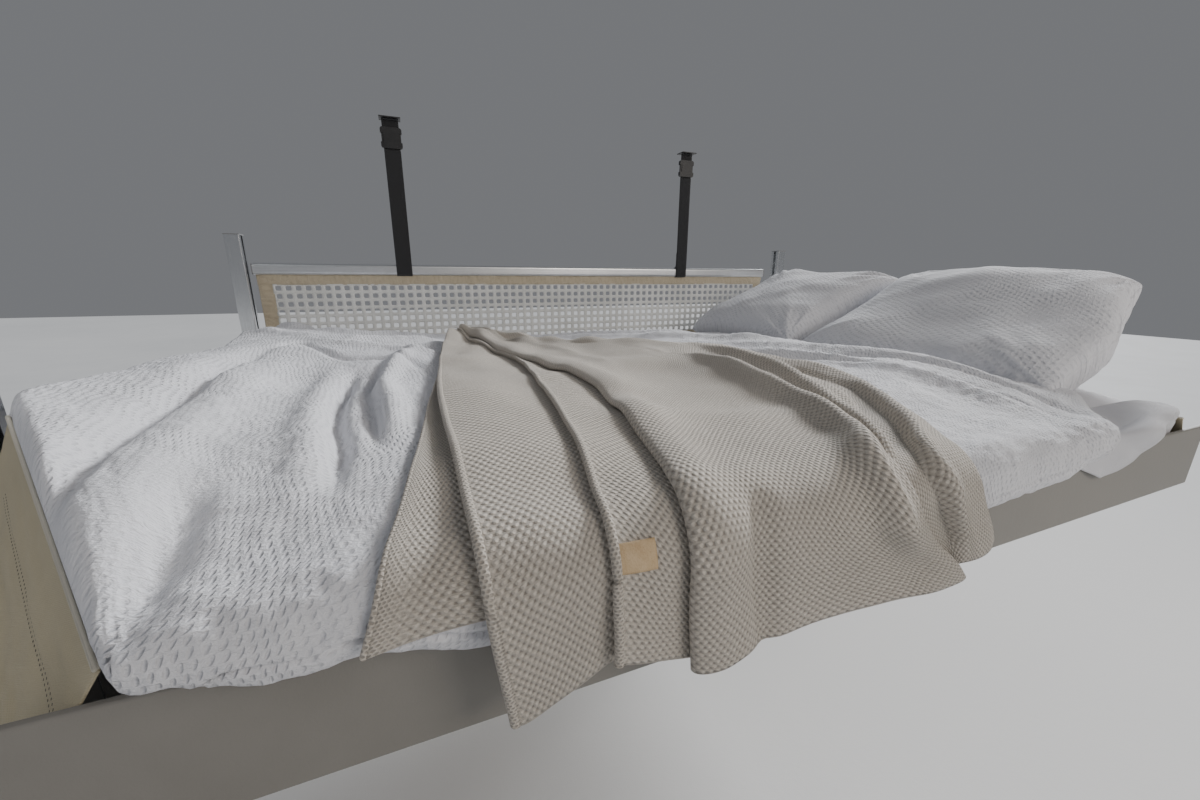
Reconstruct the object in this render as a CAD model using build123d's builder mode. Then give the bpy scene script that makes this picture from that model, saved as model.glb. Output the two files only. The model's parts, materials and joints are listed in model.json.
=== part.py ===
from build123d import *
from math import hypot
import os

os.makedirs("parts", exist_ok=True)

# Drop-down bed of a motorhome, in millimetres. X runs along the bed from the foot wall (0) to the
# head wall, Y runs away from the cab side, Z up. The origin is the centre of the bolt pattern on
# the wall face of the rear left guide rail.

# Clearances
seat_clearance = 0.3
slide_clearance = 0.5
free_clearance = 8.0

# Mattress, which sets the size of the bed
mattress_length = 2000.0
mattress_width = 1400.0
mattress_thickness = 110.0
mattress_corner = 18.0
mattress_top = -65.0
mattress_set_back = 20.0
mattress_side_gap = 70.0

# Space that the bed is built into
ceiling_z = 670.0

# Cut near corners, the way into the cab
corner_cut_length = 195.0
corner_cut_depth = 341.0

# Sprung slats in two rows
slat_count = 14
slat_width = 60.0
slat_thickness = 8.0
slat_crown = 8.0
slat_end_margin = 95.0
holder_depth = 34.0
holder_side = 4.0
holder_end_wall = 3.0
holder_end_gap = 1.0
holder_floor = 1.2
holder_floor_gap = 0.5
holder_play = 2.0
holder_roof = 4.0

# Frame of rectangular steel tube
frame_margin = 2.0
tube_width = 40.0
tube_height = 25.0
tube_wall = 2.0

# Guide rails, a C channel with its slot to the room
rail_depth = 40.0
rail_width = 46.0
rail_wall = 3.0
rail_slot = 14.0
rail_corner = 3.0
rail_groove = 2.0
rail_groove_depth = 0.8
rail_groove_offset = 9.0
rear_rail_length = 600.0
front_rail_set_back = 13.0
rail_end_margin = 15.0
bolt_inset = 50.0
bolt_radius = 3.3
rail_cap_thickness = 3.0
stop_height = 20.0

# Carriages and the brackets that join them to the frame
carriage_height = 80.0
carriage_rise = 18.0
carriage_lead = 4.0
neck_out = 14.0
lift_travel = 350.0
bracket_thickness = 6.0
bracket_width = 80.0
bracket_flange = 34.0
bracket_flange_thickness = 3.0

# Panels
panel_thickness = 3.0
apron_thickness = 8.0
apron_edge = 2.5
front_apron_lip = 80.0
rear_apron_lip = 109.0
skirt_thickness = 4.0
skirt_flare = 0.5

# Guard: a hem sleeve on a rod, net with a fabric border, rail and straps
guard_height = 295.0
guard_rail_height = 36.0
guard_rail_depth = 22.0
guard_rail_round = 9.0
guard_rail_wall = 2.0
guard_rail_slot = 3.2
guard_end_gap = 10.0
groove_width = 2.4
groove_depth = 1.0
groove_offset = 6.5
cap_thickness = 3.0
rod_radius = 3.0
rod_fit = 0.05
rod_reach = 30.0
rod_below_lip = 9.0
arm_width = 6.0
arm_wall = 3.0
arm_count = 4
arm_gap = 2.0
sleeve_wall = 2.2
cloth_thickness = 2.0
border_side = 44.0
border_top_height = 29.0
border_bottom_height = 24.0
border_end_gap = 4.0
bead_radius = 3.6
bead_rise = 2.0
net_columns = 22
net_rows = 3
net_tape = 26.0

# Straps, buckles and ceiling plates
strap_from_left = 440.0
strap_from_right = 450.0
strap_width = 50.0
strap_thickness = 2.0
strap_clearance = 0.4
strap_window_margin = 3.0
buckle_side = 7.0
buckle_height = 62.0
buckle_depth = 13.0
buckle_corner = 8.0
buckle_notch_height = 26.0
buckle_notch_depth = 9.0
buckle_prong = 6.0
buckle_prong_depth = 8.0
buckle_drop = 24.0
anchor_thickness = 3.0
anchor_length = 46.0
anchor_hole_radius = 2.7
anchor_hole_spacing = 28.0

# Bedding
cloth_clearance = 0.6
duvet_hem_depth = 40.0
duvet_set_back = 15.0
duvet_skirt_gap = 1.0
throw_left = 433.0
throw_width = 887.0
throw_length = 1190.0
throw_thickness = 18.0
pillow_length = 500.0
pillow_height = 262.0
pillow_edge = 14.0
pillow_corner = 60.0

# Derived places along the bed
wall_gap = mattress_length + 2 * mattress_side_gap
mattress_left = mattress_side_gap
frame_inset = rail_depth + neck_out + bracket_thickness
corner_x = mattress_left + corner_cut_length
guard_left = rail_depth + guard_end_gap
guard_right = guard_left + mattress_length
strap_places = (guard_left + strap_from_left, guard_right - strap_from_right)

# Derived places across the bed
mattress_far_y = -mattress_set_back
mattress_near_y = mattress_far_y - mattress_width
frame_far_y = mattress_far_y + frame_margin
frame_near_y = mattress_near_y - frame_margin
frame_mid_y = (frame_far_y + frame_near_y) / 2
corner_y = frame_near_y + corner_cut_depth
front_rail_y = corner_y + front_rail_set_back
apron_face = frame_far_y + apron_thickness
guard_y = apron_face + rod_reach

# Derived heights, from the mattress down
mattress_bottom = mattress_top - mattress_thickness
slat_end_top = mattress_bottom - seat_clearance - slat_crown
holder_top = slat_end_top + holder_play + holder_roof
tube_top_z = slat_end_top - slat_thickness - holder_floor_gap - holder_floor
frame_bottom = tube_top_z - tube_height
panel_top = frame_bottom
panel_bottom = panel_top - panel_thickness
carriage_top = tube_top_z + carriage_rise
carriage_bottom = carriage_top - carriage_height
rail_bottom = -rear_rail_length / 2
rear_rail_top = rear_rail_length / 2
front_rail_top = carriage_top + lift_travel + rail_end_margin
rear_lip_z = mattress_bottom + rear_apron_lip
hinge_z = rear_lip_z - rod_below_lip
guard_rail_top = hinge_z + guard_height
guard_rail_low = guard_rail_top - guard_rail_height
guard_rail_mid = guard_rail_top - guard_rail_height / 2

pieces = {}


def inset(points, distance):
    """Plan outline moved inwards by one distance, for points listed clockwise seen from above."""
    moved = []
    count = len(points)
    for i in range(count):
        (ax, ay), (bx, by), (cx, cy) = points[i - 1], points[i], points[(i + 1) % count]
        ux, uy = (bx - ax) / hypot(bx - ax, by - ay), (by - ay) / hypot(bx - ax, by - ay)
        vx, vy = (cx - bx) / hypot(cx - bx, cy - by), (cy - by) / hypot(cx - bx, cy - by)
        scale = distance / (1 + ux * vx + uy * vy)
        moved.append((bx + scale * (uy + vy), by - scale * (ux + vx)))
    return moved


def bed_outline(left, far_y, near_y, cut_x, cut_y):
    """Plan outline of the bed, clockwise from its far left corner, with both near corners cut."""
    right = wall_gap - left
    return [(left, far_y), (right, far_y), (right, cut_y),
            (wall_gap - cut_x, near_y), (cut_x, near_y), (left, cut_y)]


def between(a, b, share):
    """Point on the line from a to b, at a share of its length."""
    return (a[0] + (b[0] - a[0]) * share, a[1] + (b[1] - a[1]) * share)


# Guide rails: each has two bolt holes in its wall face and fine grooves on its sides
rails = {
    # name: (wall face x, direction into the room, centre y, top z)
    "rail_rear_left": (0.0, 1, 0.0, rear_rail_top),
    "rail_rear_right": (wall_gap, -1, 0.0, rear_rail_top),
    "rail_front_left": (0.0, 1, front_rail_y, front_rail_top),
    "rail_front_right": (wall_gap, -1, front_rail_y, front_rail_top),
}
for name, (wall_x, side, y, top) in rails.items():
    with BuildPart() as rail:
        with BuildSketch(Plane.XY.offset(rail_bottom)):
            with Locations((wall_x + side * rail_depth / 2, y)):
                RectangleRounded(rail_depth, rail_width, rail_corner)
                Rectangle(rail_depth - 2 * rail_wall, rail_width - 2 * rail_wall, mode=Mode.SUBTRACT)
            with Locations((wall_x + side * (rail_depth - rail_wall / 2), y)):
                Rectangle(rail_wall * 2, rail_slot, mode=Mode.SUBTRACT)
            groove_x = [wall_x + side * (rail_depth / 2 + step * rail_groove_offset) for step in (-1, 1)]
            with Locations(*[(x, y + face * rail_width / 2) for x in groove_x for face in (-1, 1)]):
                Rectangle(rail_groove, 2 * rail_groove_depth, mode=Mode.SUBTRACT)
        extrude(amount=top - rail_bottom)
        with BuildSketch(Plane.YZ.offset(wall_x)):
            with Locations((y, rail_bottom + bolt_inset), (y, top - bolt_inset)):
                Circle(bolt_radius)
        extrude(amount=side * rail_wall, mode=Mode.SUBTRACT)
    pieces[name] = rail

channel_depth = rail_depth - 2 * rail_wall
channel_width = rail_width - 2 * rail_wall
with BuildPart() as rail_stops:
    with BuildSketch(Plane.XY.offset(carriage_bottom - seat_clearance - stop_height)):
        for wall_x, side, y, top in rails.values():
            with Locations((wall_x + side * rail_depth / 2, y)):
                Rectangle(channel_depth, channel_width - 2 * seat_clearance)
    extrude(amount=stop_height)
pieces["rail_stops"] = rail_stops

with BuildPart() as rail_caps:
    for wall_x, side, y, top in rails.values():
        with BuildSketch(Plane.XY.offset(top)):
            with Locations((wall_x + side * rail_depth / 2, y)):
                Rectangle(rail_depth, rail_width)
        extrude(amount=rail_cap_thickness)
pieces["rail_caps"] = rail_caps

# Carriages: a long slider in the channel, with lead-in chamfers, and a neck out through the slot
slider_depth = channel_depth - 2 * slide_clearance
slider_width = channel_width - 2 * slide_clearance
neck_length = rail_depth / 2 + neck_out
with BuildPart() as carriages:
    with BuildSketch(Plane.XY.offset(carriage_bottom)):
        for wall_x, side, y, top in rails.values():
            with Locations((wall_x + side * rail_depth / 2, y)):
                Rectangle(slider_depth, slider_width)
    extrude(amount=carriage_height)
    lead_edges = carriages.edges().group_by(Axis.Z)[0] + carriages.edges().group_by(Axis.Z)[-1]
    chamfer(lead_edges.filter_by(Axis.X), carriage_lead)
    with BuildSketch(Plane.XY.offset(carriage_bottom + carriage_lead)):
        for wall_x, side, y, top in rails.values():
            with Locations((wall_x + side * (rail_depth / 2 + neck_length / 2), y)):
                Rectangle(neck_length, rail_slot - 2 * slide_clearance)
    extrude(amount=carriage_height - 2 * carriage_lead)
pieces["carriages"] = carriages

# Brackets: a plate on the carriage's neck, with a flange over the frame's end tube
with BuildPart() as carriage_brackets:
    for wall_x, side, y, top in rails.values():
        far_y = max(y + bracket_width / 2, corner_y + bracket_width)
        far_y = min(far_y, guard_y - arm_wall - rod_radius - free_clearance)
        near_y = far_y - bracket_width
        with BuildSketch(Plane.XY.offset(carriage_bottom)):
            with Locations((wall_x + side * (frame_inset - bracket_thickness / 2), (far_y + near_y) / 2)):
                Rectangle(bracket_thickness, bracket_width)
        extrude(amount=tube_top_z + bracket_flange_thickness - carriage_bottom)
        flange_far = min(far_y, frame_far_y)
        with BuildSketch(Plane.XY.offset(tube_top_z)):
            with Locations((wall_x + side * (frame_inset + bracket_flange / 2), (flange_far + near_y) / 2)):
                Rectangle(bracket_flange, flange_far - near_y)
        extrude(amount=bracket_flange_thickness)
pieces["carriage_brackets"] = carriage_brackets

# Frame tubes, mitred where they meet
outer = bed_outline(frame_inset, frame_far_y, frame_near_y, corner_x, corner_y)
inner = inset(outer, tube_width)
wall_share = tube_wall / tube_width
tube_names = ["side_tube_rear", "end_tube_right", "corner_tube_right",
              "side_tube_front", "corner_tube_left", "end_tube_left"]
for i, name in enumerate(tube_names):
    a, b = outer[i], outer[(i + 1) % len(outer)]
    c, d = inner[(i + 1) % len(outer)], inner[i]
    with BuildPart() as tube:
        with BuildSketch(Plane.XY.offset(frame_bottom)):
            Polygon(a, b, c, d, align=None)
        extrude(amount=tube_height)
        with BuildSketch(Plane.XY.offset(frame_bottom + tube_wall)):
            Polygon(between(a, d, wall_share), between(b, c, wall_share),
                    between(c, b, wall_share), between(d, a, wall_share), align=None)
        extrude(amount=tube_height - 2 * tube_wall, mode=Mode.SUBTRACT)
    pieces[name] = tube

with BuildPart() as centre_tube:
    with BuildSketch(Plane.YZ.offset(frame_inset + tube_width)):
        with Locations((frame_mid_y, frame_bottom + tube_height / 2)):
            Rectangle(tube_width, tube_height)
            Rectangle(tube_width - 2 * tube_wall, tube_height - 2 * tube_wall, mode=Mode.SUBTRACT)
    extrude(amount=wall_gap - 2 * (frame_inset + tube_width))
pieces["centre_tube"] = centre_tube

# Slats and their holders: two rows, each slat bowed up between two holders
holder_width = slat_width + 2 * holder_side
slat_first = frame_inset + slat_end_margin
slat_pitch = (wall_gap - 2 * slat_first) / (slat_count - 1)
slat_full_length = frame_far_y - frame_mid_y - tube_width * 3 / 4
mid_line = inset(outer, tube_width / 2)


def near_line(x):
    """Y where a slat's near end sits on the tube's centre line, measured at its holder's outer side."""
    x = min(x, wall_gap - x) - holder_width / 2
    (cut_x, near_y), (end_x, cut_y) = mid_line[4], mid_line[5]
    if x >= cut_x:
        return near_y
    return near_y + (cut_x - x) / (cut_x - end_x) * (cut_y - near_y)


slat_rows = []
for k in range(slat_count):
    x = slat_first + k * slat_pitch
    slat_rows.append((x, frame_far_y - tube_width / 2, frame_mid_y + tube_width / 4))
    slat_rows.append((x, frame_mid_y - tube_width / 4, near_line(x)))

slats = []
slat_end_low = slat_end_top - slat_thickness
for x, far_y, near_y in slat_rows:
    mid = (far_y + near_y) / 2
    bow = slat_crown * ((far_y - near_y) / slat_full_length) ** 2
    with BuildPart() as slat:
        with BuildSketch(Plane.YZ.offset(x - slat_width / 2)):
            with BuildLine():
                ThreePointArc((far_y, slat_end_top), (mid, slat_end_top + bow), (near_y, slat_end_top))
                Line((near_y, slat_end_top), (near_y, slat_end_low))
                ThreePointArc((near_y, slat_end_low), (mid, slat_end_low + bow), (far_y, slat_end_low))
                Line((far_y, slat_end_low), (far_y, slat_end_top))
            make_face()
        extrude(amount=slat_width)
    slats.append(slat.part)
pieces["slats"] = slats

slat_ends = []
for x, far_y, near_y in slat_rows:
    slat_ends.append((x, far_y, -1))
    slat_ends.append((x, near_y, 1))
with BuildPart() as slat_holders:
    with BuildSketch(Plane.XY.offset(tube_top_z)):
        for x, end_y, inward in slat_ends:
            back_y = end_y - inward * (holder_end_wall + holder_end_gap)
            with Locations((x, back_y + inward * holder_depth / 2)):
                Rectangle(holder_width, holder_depth)
    extrude(amount=holder_top - tube_top_z)
    with BuildSketch(Plane.XY.offset(tube_top_z + holder_floor)):
        for x, end_y, inward in slat_ends:
            back_y = end_y - inward * (holder_end_wall + holder_end_gap)
            with Locations((x, back_y + inward * (holder_depth + holder_end_wall) / 2)):
                Rectangle(slat_width + 2 * seat_clearance, holder_depth - holder_end_wall)
    extrude(amount=slat_end_top + holder_play - tube_top_z - holder_floor, mode=Mode.SUBTRACT)
pieces["slat_holders"] = slat_holders

# Fabric skirts lean out from the cut corners down to the edge of the trim panel
skirts = {
    # name: (wall face x, direction into the room, top edge over the mattress's top: at the wall, at the front)
    "corner_skirt_left": (0.0, 1, 100.0, -8.0),
    "corner_skirt_right": (wall_gap, -1, -8.0, -8.0),
}
cut_run = hypot(corner_x - frame_inset, corner_cut_depth)
out_x = -corner_cut_depth / cut_run
out_y = -(corner_x - frame_inset) / cut_run


def panel_cut(wall_x, side, wall_rise, front_rise):
    """The panel's corner under a skirt: its point on the end line and its point on the front line."""
    wall_out = skirt_flare * (mattress_top + wall_rise - panel_top)
    front_out = skirt_flare * (mattress_top + front_rise - panel_top)
    ax, ay = frame_inset + out_x * wall_out, corner_y + out_y * wall_out
    bx, by = corner_x + out_x * front_out, frame_near_y + out_y * front_out
    slope = (by - ay) / (bx - ax)
    return ((wall_x + side * frame_inset, ay + slope * (frame_inset - ax)),
            (wall_x + side * (ax + (frame_near_y - ay) / slope), frame_near_y))


for name, (wall_x, side, wall_rise, front_rise) in skirts.items():
    wall_end = Vector(wall_x + side * frame_inset, corner_y, mattress_top + wall_rise)
    front_end = Vector(wall_x + side * corner_x, frame_near_y, mattress_top + front_rise)
    along = front_end - wall_end
    down = Vector(side * skirt_flare * out_x, skirt_flare * out_y, -1)
    with BuildPart() as skirt:
        with BuildSketch(Plane(origin=wall_end, x_dir=along, z_dir=down.cross(along) * side)):
            Rectangle(4 * cut_run, 4 * cut_run)
        extrude(amount=-skirt_thickness)
        with BuildSketch(Plane.XY.offset(panel_top)):
            Polygon((wall_end.X, corner_y), (front_end.X, frame_near_y), (wall_end.X, frame_near_y), align=None)
        extrude(amount=3 * mattress_thickness, mode=Mode.INTERSECT)
    pieces[name] = skirt

# Trim panel under the frame, and aprons at its far and near edges
left_end, left_front = panel_cut(*skirts["corner_skirt_left"])
right_end, right_front = panel_cut(*skirts["corner_skirt_right"])
with BuildPart() as underside_panel:
    with BuildSketch(Plane.XY.offset(panel_bottom)):
        Polygon(outer[0], outer[1], right_end, right_front, left_front, left_end, align=None)
    extrude(amount=panel_thickness)
pieces["underside_panel"] = underside_panel

aprons = {
    # name: (left x, right x, middle y, top z)
    "front_apron": (left_front[0], right_front[0], frame_near_y - apron_thickness / 2,
                    mattress_bottom + front_apron_lip),
    "rear_apron": (frame_inset, wall_gap - frame_inset, frame_far_y + apron_thickness / 2, rear_lip_z),
}
for name, (left, right, mid_y, top) in aprons.items():
    with BuildPart() as apron:
        with BuildSketch(Plane.YZ.offset(left)):
            with Locations((mid_y, (panel_bottom + top) / 2)):
                RectangleRounded(apron_thickness, top - panel_bottom, apron_edge)
        extrude(amount=right - left)
    pieces[name] = apron

# Hinge of the guard: a rod along the rear apron, held in arms
arm_first = frame_inset
arm_last = guard_right - border_end_gap - arm_width
arm_places = [arm_first + k * (arm_last - arm_first) / (arm_count - 1) for k in range(arm_count)]
arm_radius = rod_radius + arm_wall
with BuildPart() as hinge_arms:
    for x in arm_places:
        with BuildSketch(Plane.YZ.offset(x)):
            with Locations((guard_y, hinge_z)):
                Circle(arm_radius)
            with Locations(((apron_face + guard_y) / 2, hinge_z)):
                Rectangle(guard_y - apron_face, 2 * arm_radius)
            with Locations((guard_y, hinge_z)):
                Circle(rod_radius + rod_fit, mode=Mode.SUBTRACT)
        extrude(amount=arm_width)
pieces["hinge_arms"] = hinge_arms

with BuildPart() as hinge_rod:
    with BuildSketch(Plane.YZ.offset(guard_left)):
        with Locations((guard_y, hinge_z)):
            Circle(rod_radius)
    extrude(amount=guard_right - guard_left)
pieces["hinge_rod"] = hinge_rod

# Border of the net: its lower hem is a sleeve on the rod, its top edge a bead in the guard rail
net_left = guard_left + border_side
net_right = guard_right - border_side
net_bottom = hinge_z + border_bottom_height
net_top = guard_rail_low - border_top_height
sleeve_bore = rod_radius + seat_clearance
bead_z = guard_rail_low + guard_rail_wall + bead_radius + bead_rise
border_length = guard_right - guard_left - 2 * border_end_gap
cloth_plane = Plane.XZ.offset(-guard_y - cloth_thickness / 2)
with BuildPart() as net_border:
    with BuildSketch(cloth_plane):
        with Locations(((guard_left + guard_right) / 2, (hinge_z + bead_z) / 2)):
            Rectangle(border_length, bead_z - hinge_z)
        with Locations(((net_left + net_right) / 2, (net_bottom + net_top) / 2)):
            Rectangle(net_right - net_left, net_top - net_bottom, mode=Mode.SUBTRACT)
        window_height = strap_thickness + strap_clearance + strap_window_margin
        with Locations(*[(x, guard_rail_low - window_height / 2) for x in strap_places]):
            Rectangle(strap_width + 2 * strap_window_margin, window_height, mode=Mode.SUBTRACT)
    extrude(amount=cloth_thickness)
    with BuildSketch(Plane.YZ.offset(guard_left + border_end_gap)):
        with Locations((guard_y, hinge_z)):
            Circle(sleeve_bore + sleeve_wall)
        with Locations((guard_y, bead_z)):
            Circle(bead_radius)
    extrude(amount=border_length)
    with BuildSketch(Plane.YZ.offset(guard_left)):
        with Locations((guard_y, hinge_z)):
            Circle(sleeve_bore)
    extrude(amount=guard_right - guard_left, mode=Mode.SUBTRACT)
    for x in arm_places:
        with BuildSketch(Plane.YZ.offset(x - arm_gap)):
            with Locations((guard_y, hinge_z)):
                Rectangle(2 * (arm_radius + arm_gap), 2 * (arm_radius + arm_gap))
        extrude(amount=arm_width + 2 * arm_gap, mode=Mode.SUBTRACT)
pieces["net_border"] = net_border

# Net: an open grid of tape
hole_step_x = (net_right - net_left) / net_columns
hole_step_z = (net_top - net_bottom) / net_rows
with BuildPart() as net:
    with BuildSketch(cloth_plane):
        with Locations(((net_left + net_right) / 2, (net_bottom + net_top) / 2)):
            Rectangle(net_right - net_left, net_top - net_bottom)
            with GridLocations(hole_step_x, hole_step_z, net_columns, net_rows):
                Rectangle(hole_step_x - net_tape, hole_step_z - net_tape, mode=Mode.SUBTRACT)
    extrude(amount=cloth_thickness)
pieces["net"] = net

# Guard rail: an oval extrusion with two long grooves on each face and a slot for the bead below
with BuildPart() as guard_rail:
    with BuildSketch(Plane.YZ.offset(guard_left)):
        with Locations((guard_y, guard_rail_mid)):
            RectangleRounded(guard_rail_depth, guard_rail_height, guard_rail_round)
            RectangleRounded(guard_rail_depth - 2 * guard_rail_wall, guard_rail_height - 2 * guard_rail_wall,
                             guard_rail_round - guard_rail_wall, mode=Mode.SUBTRACT)
        with Locations(*[(guard_y + face * guard_rail_depth / 2, guard_rail_mid + step * groove_offset)
                         for face in (-1, 1) for step in (-1, 1)]):
            Rectangle(2 * groove_depth, groove_width, mode=Mode.SUBTRACT)
        with Locations((guard_y, guard_rail_low)):
            Rectangle(guard_rail_slot, 3 * guard_rail_wall, mode=Mode.SUBTRACT)
    extrude(amount=guard_right - guard_left)
pieces["guard_rail"] = guard_rail

with BuildPart() as guard_rail_caps:
    for x in (guard_left - cap_thickness, guard_right):
        with BuildSketch(Plane.YZ.offset(x)):
            with Locations((guard_y, guard_rail_mid)):
                RectangleRounded(guard_rail_depth, guard_rail_height, guard_rail_round)
        extrude(amount=cap_thickness)
pieces["guard_rail_caps"] = guard_rail_caps

# Straps: a loop round the rail and a tail up to the buckle, then a short piece to the ceiling plate
loop_depth = guard_rail_depth + 2 * strap_clearance
loop_height = guard_rail_height + 2 * strap_clearance
loop_round = guard_rail_round + strap_clearance
strap_y = guard_y - loop_depth / 2 - strap_thickness / 2
buckle_top = ceiling_z - anchor_thickness - buckle_drop
buckle_bottom = buckle_top - buckle_height
buckle_mid = (buckle_top + buckle_bottom) / 2
for name, x in zip(("strap_left", "strap_right"), strap_places):
    with BuildPart() as strap:
        with BuildSketch(Plane.YZ.offset(x - strap_width / 2)):
            with Locations((guard_y, guard_rail_mid)):
                RectangleRounded(loop_depth + 2 * strap_thickness, loop_height + 2 * strap_thickness,
                                 loop_round + strap_thickness)
            with Locations((strap_y, (guard_rail_mid + buckle_bottom) / 2)):
                Rectangle(strap_thickness, buckle_bottom - guard_rail_mid)
            with Locations((guard_y, guard_rail_mid)):
                RectangleRounded(loop_depth, loop_height, loop_round, mode=Mode.SUBTRACT)
        extrude(amount=strap_width)
        with BuildSketch(Plane.XY.offset(buckle_top)):
            with Locations((x, strap_y)):
                Rectangle(strap_width, strap_thickness)
        extrude(amount=buckle_drop)
    pieces[name] = strap

# Buckles: a flat body with a notch on each side where the prong is pressed
buckle_width = strap_width + 2 * buckle_side
prong_x = buckle_width / 2 - buckle_notch_depth + buckle_prong / 2
with BuildPart() as buckles:
    with BuildSketch(Plane.XZ.offset(-strap_y - buckle_depth / 2)):
        for x in strap_places:
            with Locations((x, buckle_mid)):
                RectangleRounded(buckle_width, buckle_height, buckle_corner)
            with Locations((x - buckle_width / 2, buckle_mid), (x + buckle_width / 2, buckle_mid)):
                Rectangle(2 * buckle_notch_depth, buckle_notch_height, mode=Mode.SUBTRACT)
    extrude(amount=buckle_depth)
    with BuildSketch(Plane.XZ.offset(-strap_y - buckle_prong_depth / 2)):
        with Locations(*[(x + side * prong_x, buckle_mid) for x in strap_places for side in (-1, 1)]):
            Rectangle(buckle_prong, buckle_notch_height)
    extrude(amount=buckle_prong_depth)
pieces["buckles"] = buckles

with BuildPart() as ceiling_anchors:
    with BuildSketch(Plane.XY.offset(ceiling_z - anchor_thickness)):
        for x in strap_places:
            with Locations((x, strap_y)):
                Rectangle(buckle_width, anchor_length)
            with Locations((x, strap_y - anchor_hole_spacing / 2), (x, strap_y + anchor_hole_spacing / 2)):
                Circle(anchor_hole_radius, mode=Mode.SUBTRACT)
    extrude(amount=anchor_thickness)
pieces["ceiling_anchors"] = ceiling_anchors

# Mattress on the slats
with BuildPart() as mattress:
    with BuildSketch(Plane.XY.offset(mattress_bottom)):
        Polygon(*bed_outline(mattress_left, mattress_far_y, mattress_near_y, corner_x, corner_y), align=None)
    extrude(amount=mattress_thickness)
    fillet(mattress.faces().sort_by(Axis.Z)[-1].edges(), mattress_corner)
pieces["mattress"] = mattress

# Duvet: a loft of sections across the bed, thick at the foot wall and cut along the corner, with a
# tongue in front of the near pillow and a hem down over the near edge
pillow_back = wall_gap - rail_depth - free_clearance
pillow_front = pillow_back - pillow_length
duvet_left = rail_depth + free_clearance
duvet_right = pillow_front - free_clearance
tongue_right = wall_gap - corner_x - free_clearance
duvet_far_y = mattress_far_y - duvet_set_back
duvet_bottom = mattress_top + seat_clearance
duvet_back_face = frame_near_y - apron_thickness - seat_clearance
duvet_face = duvet_back_face - duvet_hem_depth
duvet_depth = duvet_far_y - duvet_face
duvet_columns = (0, 0.02, 0.165, 0.275, 0.465, 0.665, 0.85, 0.98, 1)
duvet_rows = {
    # share of the way to the near face: height over the mattress at each column, from the foot wall
    0: (40, 60, 40, 30, 24, 22, 22, 18, 12),
    0.035: (70, 115, 74, 54, 42, 40, 40, 32, 18),
    0.268: (85, 146, 84, 62, 46, 42, 46, 38, 22),
    0.477: (88, 148, 66, 66, 50, 46, 54, 42, 24),
    0.672: (80, 128, 62, 64, 54, 50, 56, 44, 26),
    0.826: (85, 92, 62, 60, 52, 50, 52, 48, 28),
    0.965: (60, 60, 38, 44, 42, 42, 40, 38, 24),
    0.99: (36, 36, 26, 28, 27, 27, 26, 25, 18),
    1: (6, 9, 10, 9, 10, 9, 10, 9, 6),
}
tongue_profile = [
    # (from the near face, height over the mattress)
    (0, 6), (14, 18), (50, 24), (110, 23), (130, 14), (130, 0), (0, 0),
]
duvet_hem = [
    # (share of the way from the foot wall to the tongue's end, below the mattress's top)
    (0.12, 2), (0.155, 15), (0.188, 35), (0.26, 55), (0.65, 55), (0.81, 45), (0.96, 12), (1, 4),
]


def duvet_x(share):
    """Place along the bed of a share of the duvet's length."""
    return duvet_left + share * (duvet_right - duvet_left)


def weigh(value, stops):
    """Index of the stop before a value and the share of the way to the next one."""
    for k in range(len(stops) - 2):
        if value < stops[k + 1]:
            break
    return k, (value - stops[k]) / (stops[k + 1] - stops[k])


def duvet_top(x, y):
    """Height of the duvet's top at a place on the bed."""
    i, across = weigh((duvet_far_y - y) / duvet_depth, list(duvet_rows))
    k, along = weigh((x - duvet_left) / (duvet_right - duvet_left), duvet_columns)
    far_row, near_row = list(duvet_rows.values())[i:i + 2]
    far = far_row[k] + along * (far_row[k + 1] - far_row[k])
    near = near_row[k] + along * (near_row[k + 1] - near_row[k])
    return duvet_bottom + far + across * (near - far)


cut_slope = corner_cut_depth / (corner_x - frame_inset)
with BuildPart() as duvet:
    for share, heights in duvet_rows.items():
        with BuildSketch(Plane.XZ.offset(-duvet_far_y + share * duvet_depth)):
            tops = [(duvet_x(column), duvet_bottom + z) for column, z in zip(duvet_columns, heights)]
            Polygon((duvet_left, duvet_bottom), *tops, (duvet_right, duvet_bottom), align=None)
    loft(ruled=True)
    with BuildSketch(Plane.YZ.offset(duvet_right)):
        Polygon(*[(duvet_face + y, duvet_bottom + z) for y, z in tongue_profile], align=None)
    extrude(amount=tongue_right - duvet_right)
    with BuildSketch(Plane.XZ.offset(-duvet_back_face)):
        hem = [(duvet_left + share * (tongue_right - duvet_left), mattress_top - z) for share, z in duvet_hem]
        Polygon(*hem, (hem[-1][0], duvet_bottom), (hem[0][0], duvet_bottom), align=None)
    extrude(amount=duvet_hem_depth)
    with BuildSketch(Plane.XY.offset(mattress_bottom)):
        Polygon((duvet_left, duvet_far_y), (tongue_right, duvet_far_y), (tongue_right, duvet_face),
                (corner_x + (frame_near_y - duvet_face) / cut_slope + duvet_skirt_gap, duvet_face),
                (duvet_left, corner_y + cut_slope * (frame_inset - duvet_left + duvet_skirt_gap)), align=None)
    extrude(amount=3 * mattress_thickness, mode=Mode.INTERSECT)
pieces["duvet"] = duvet

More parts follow.
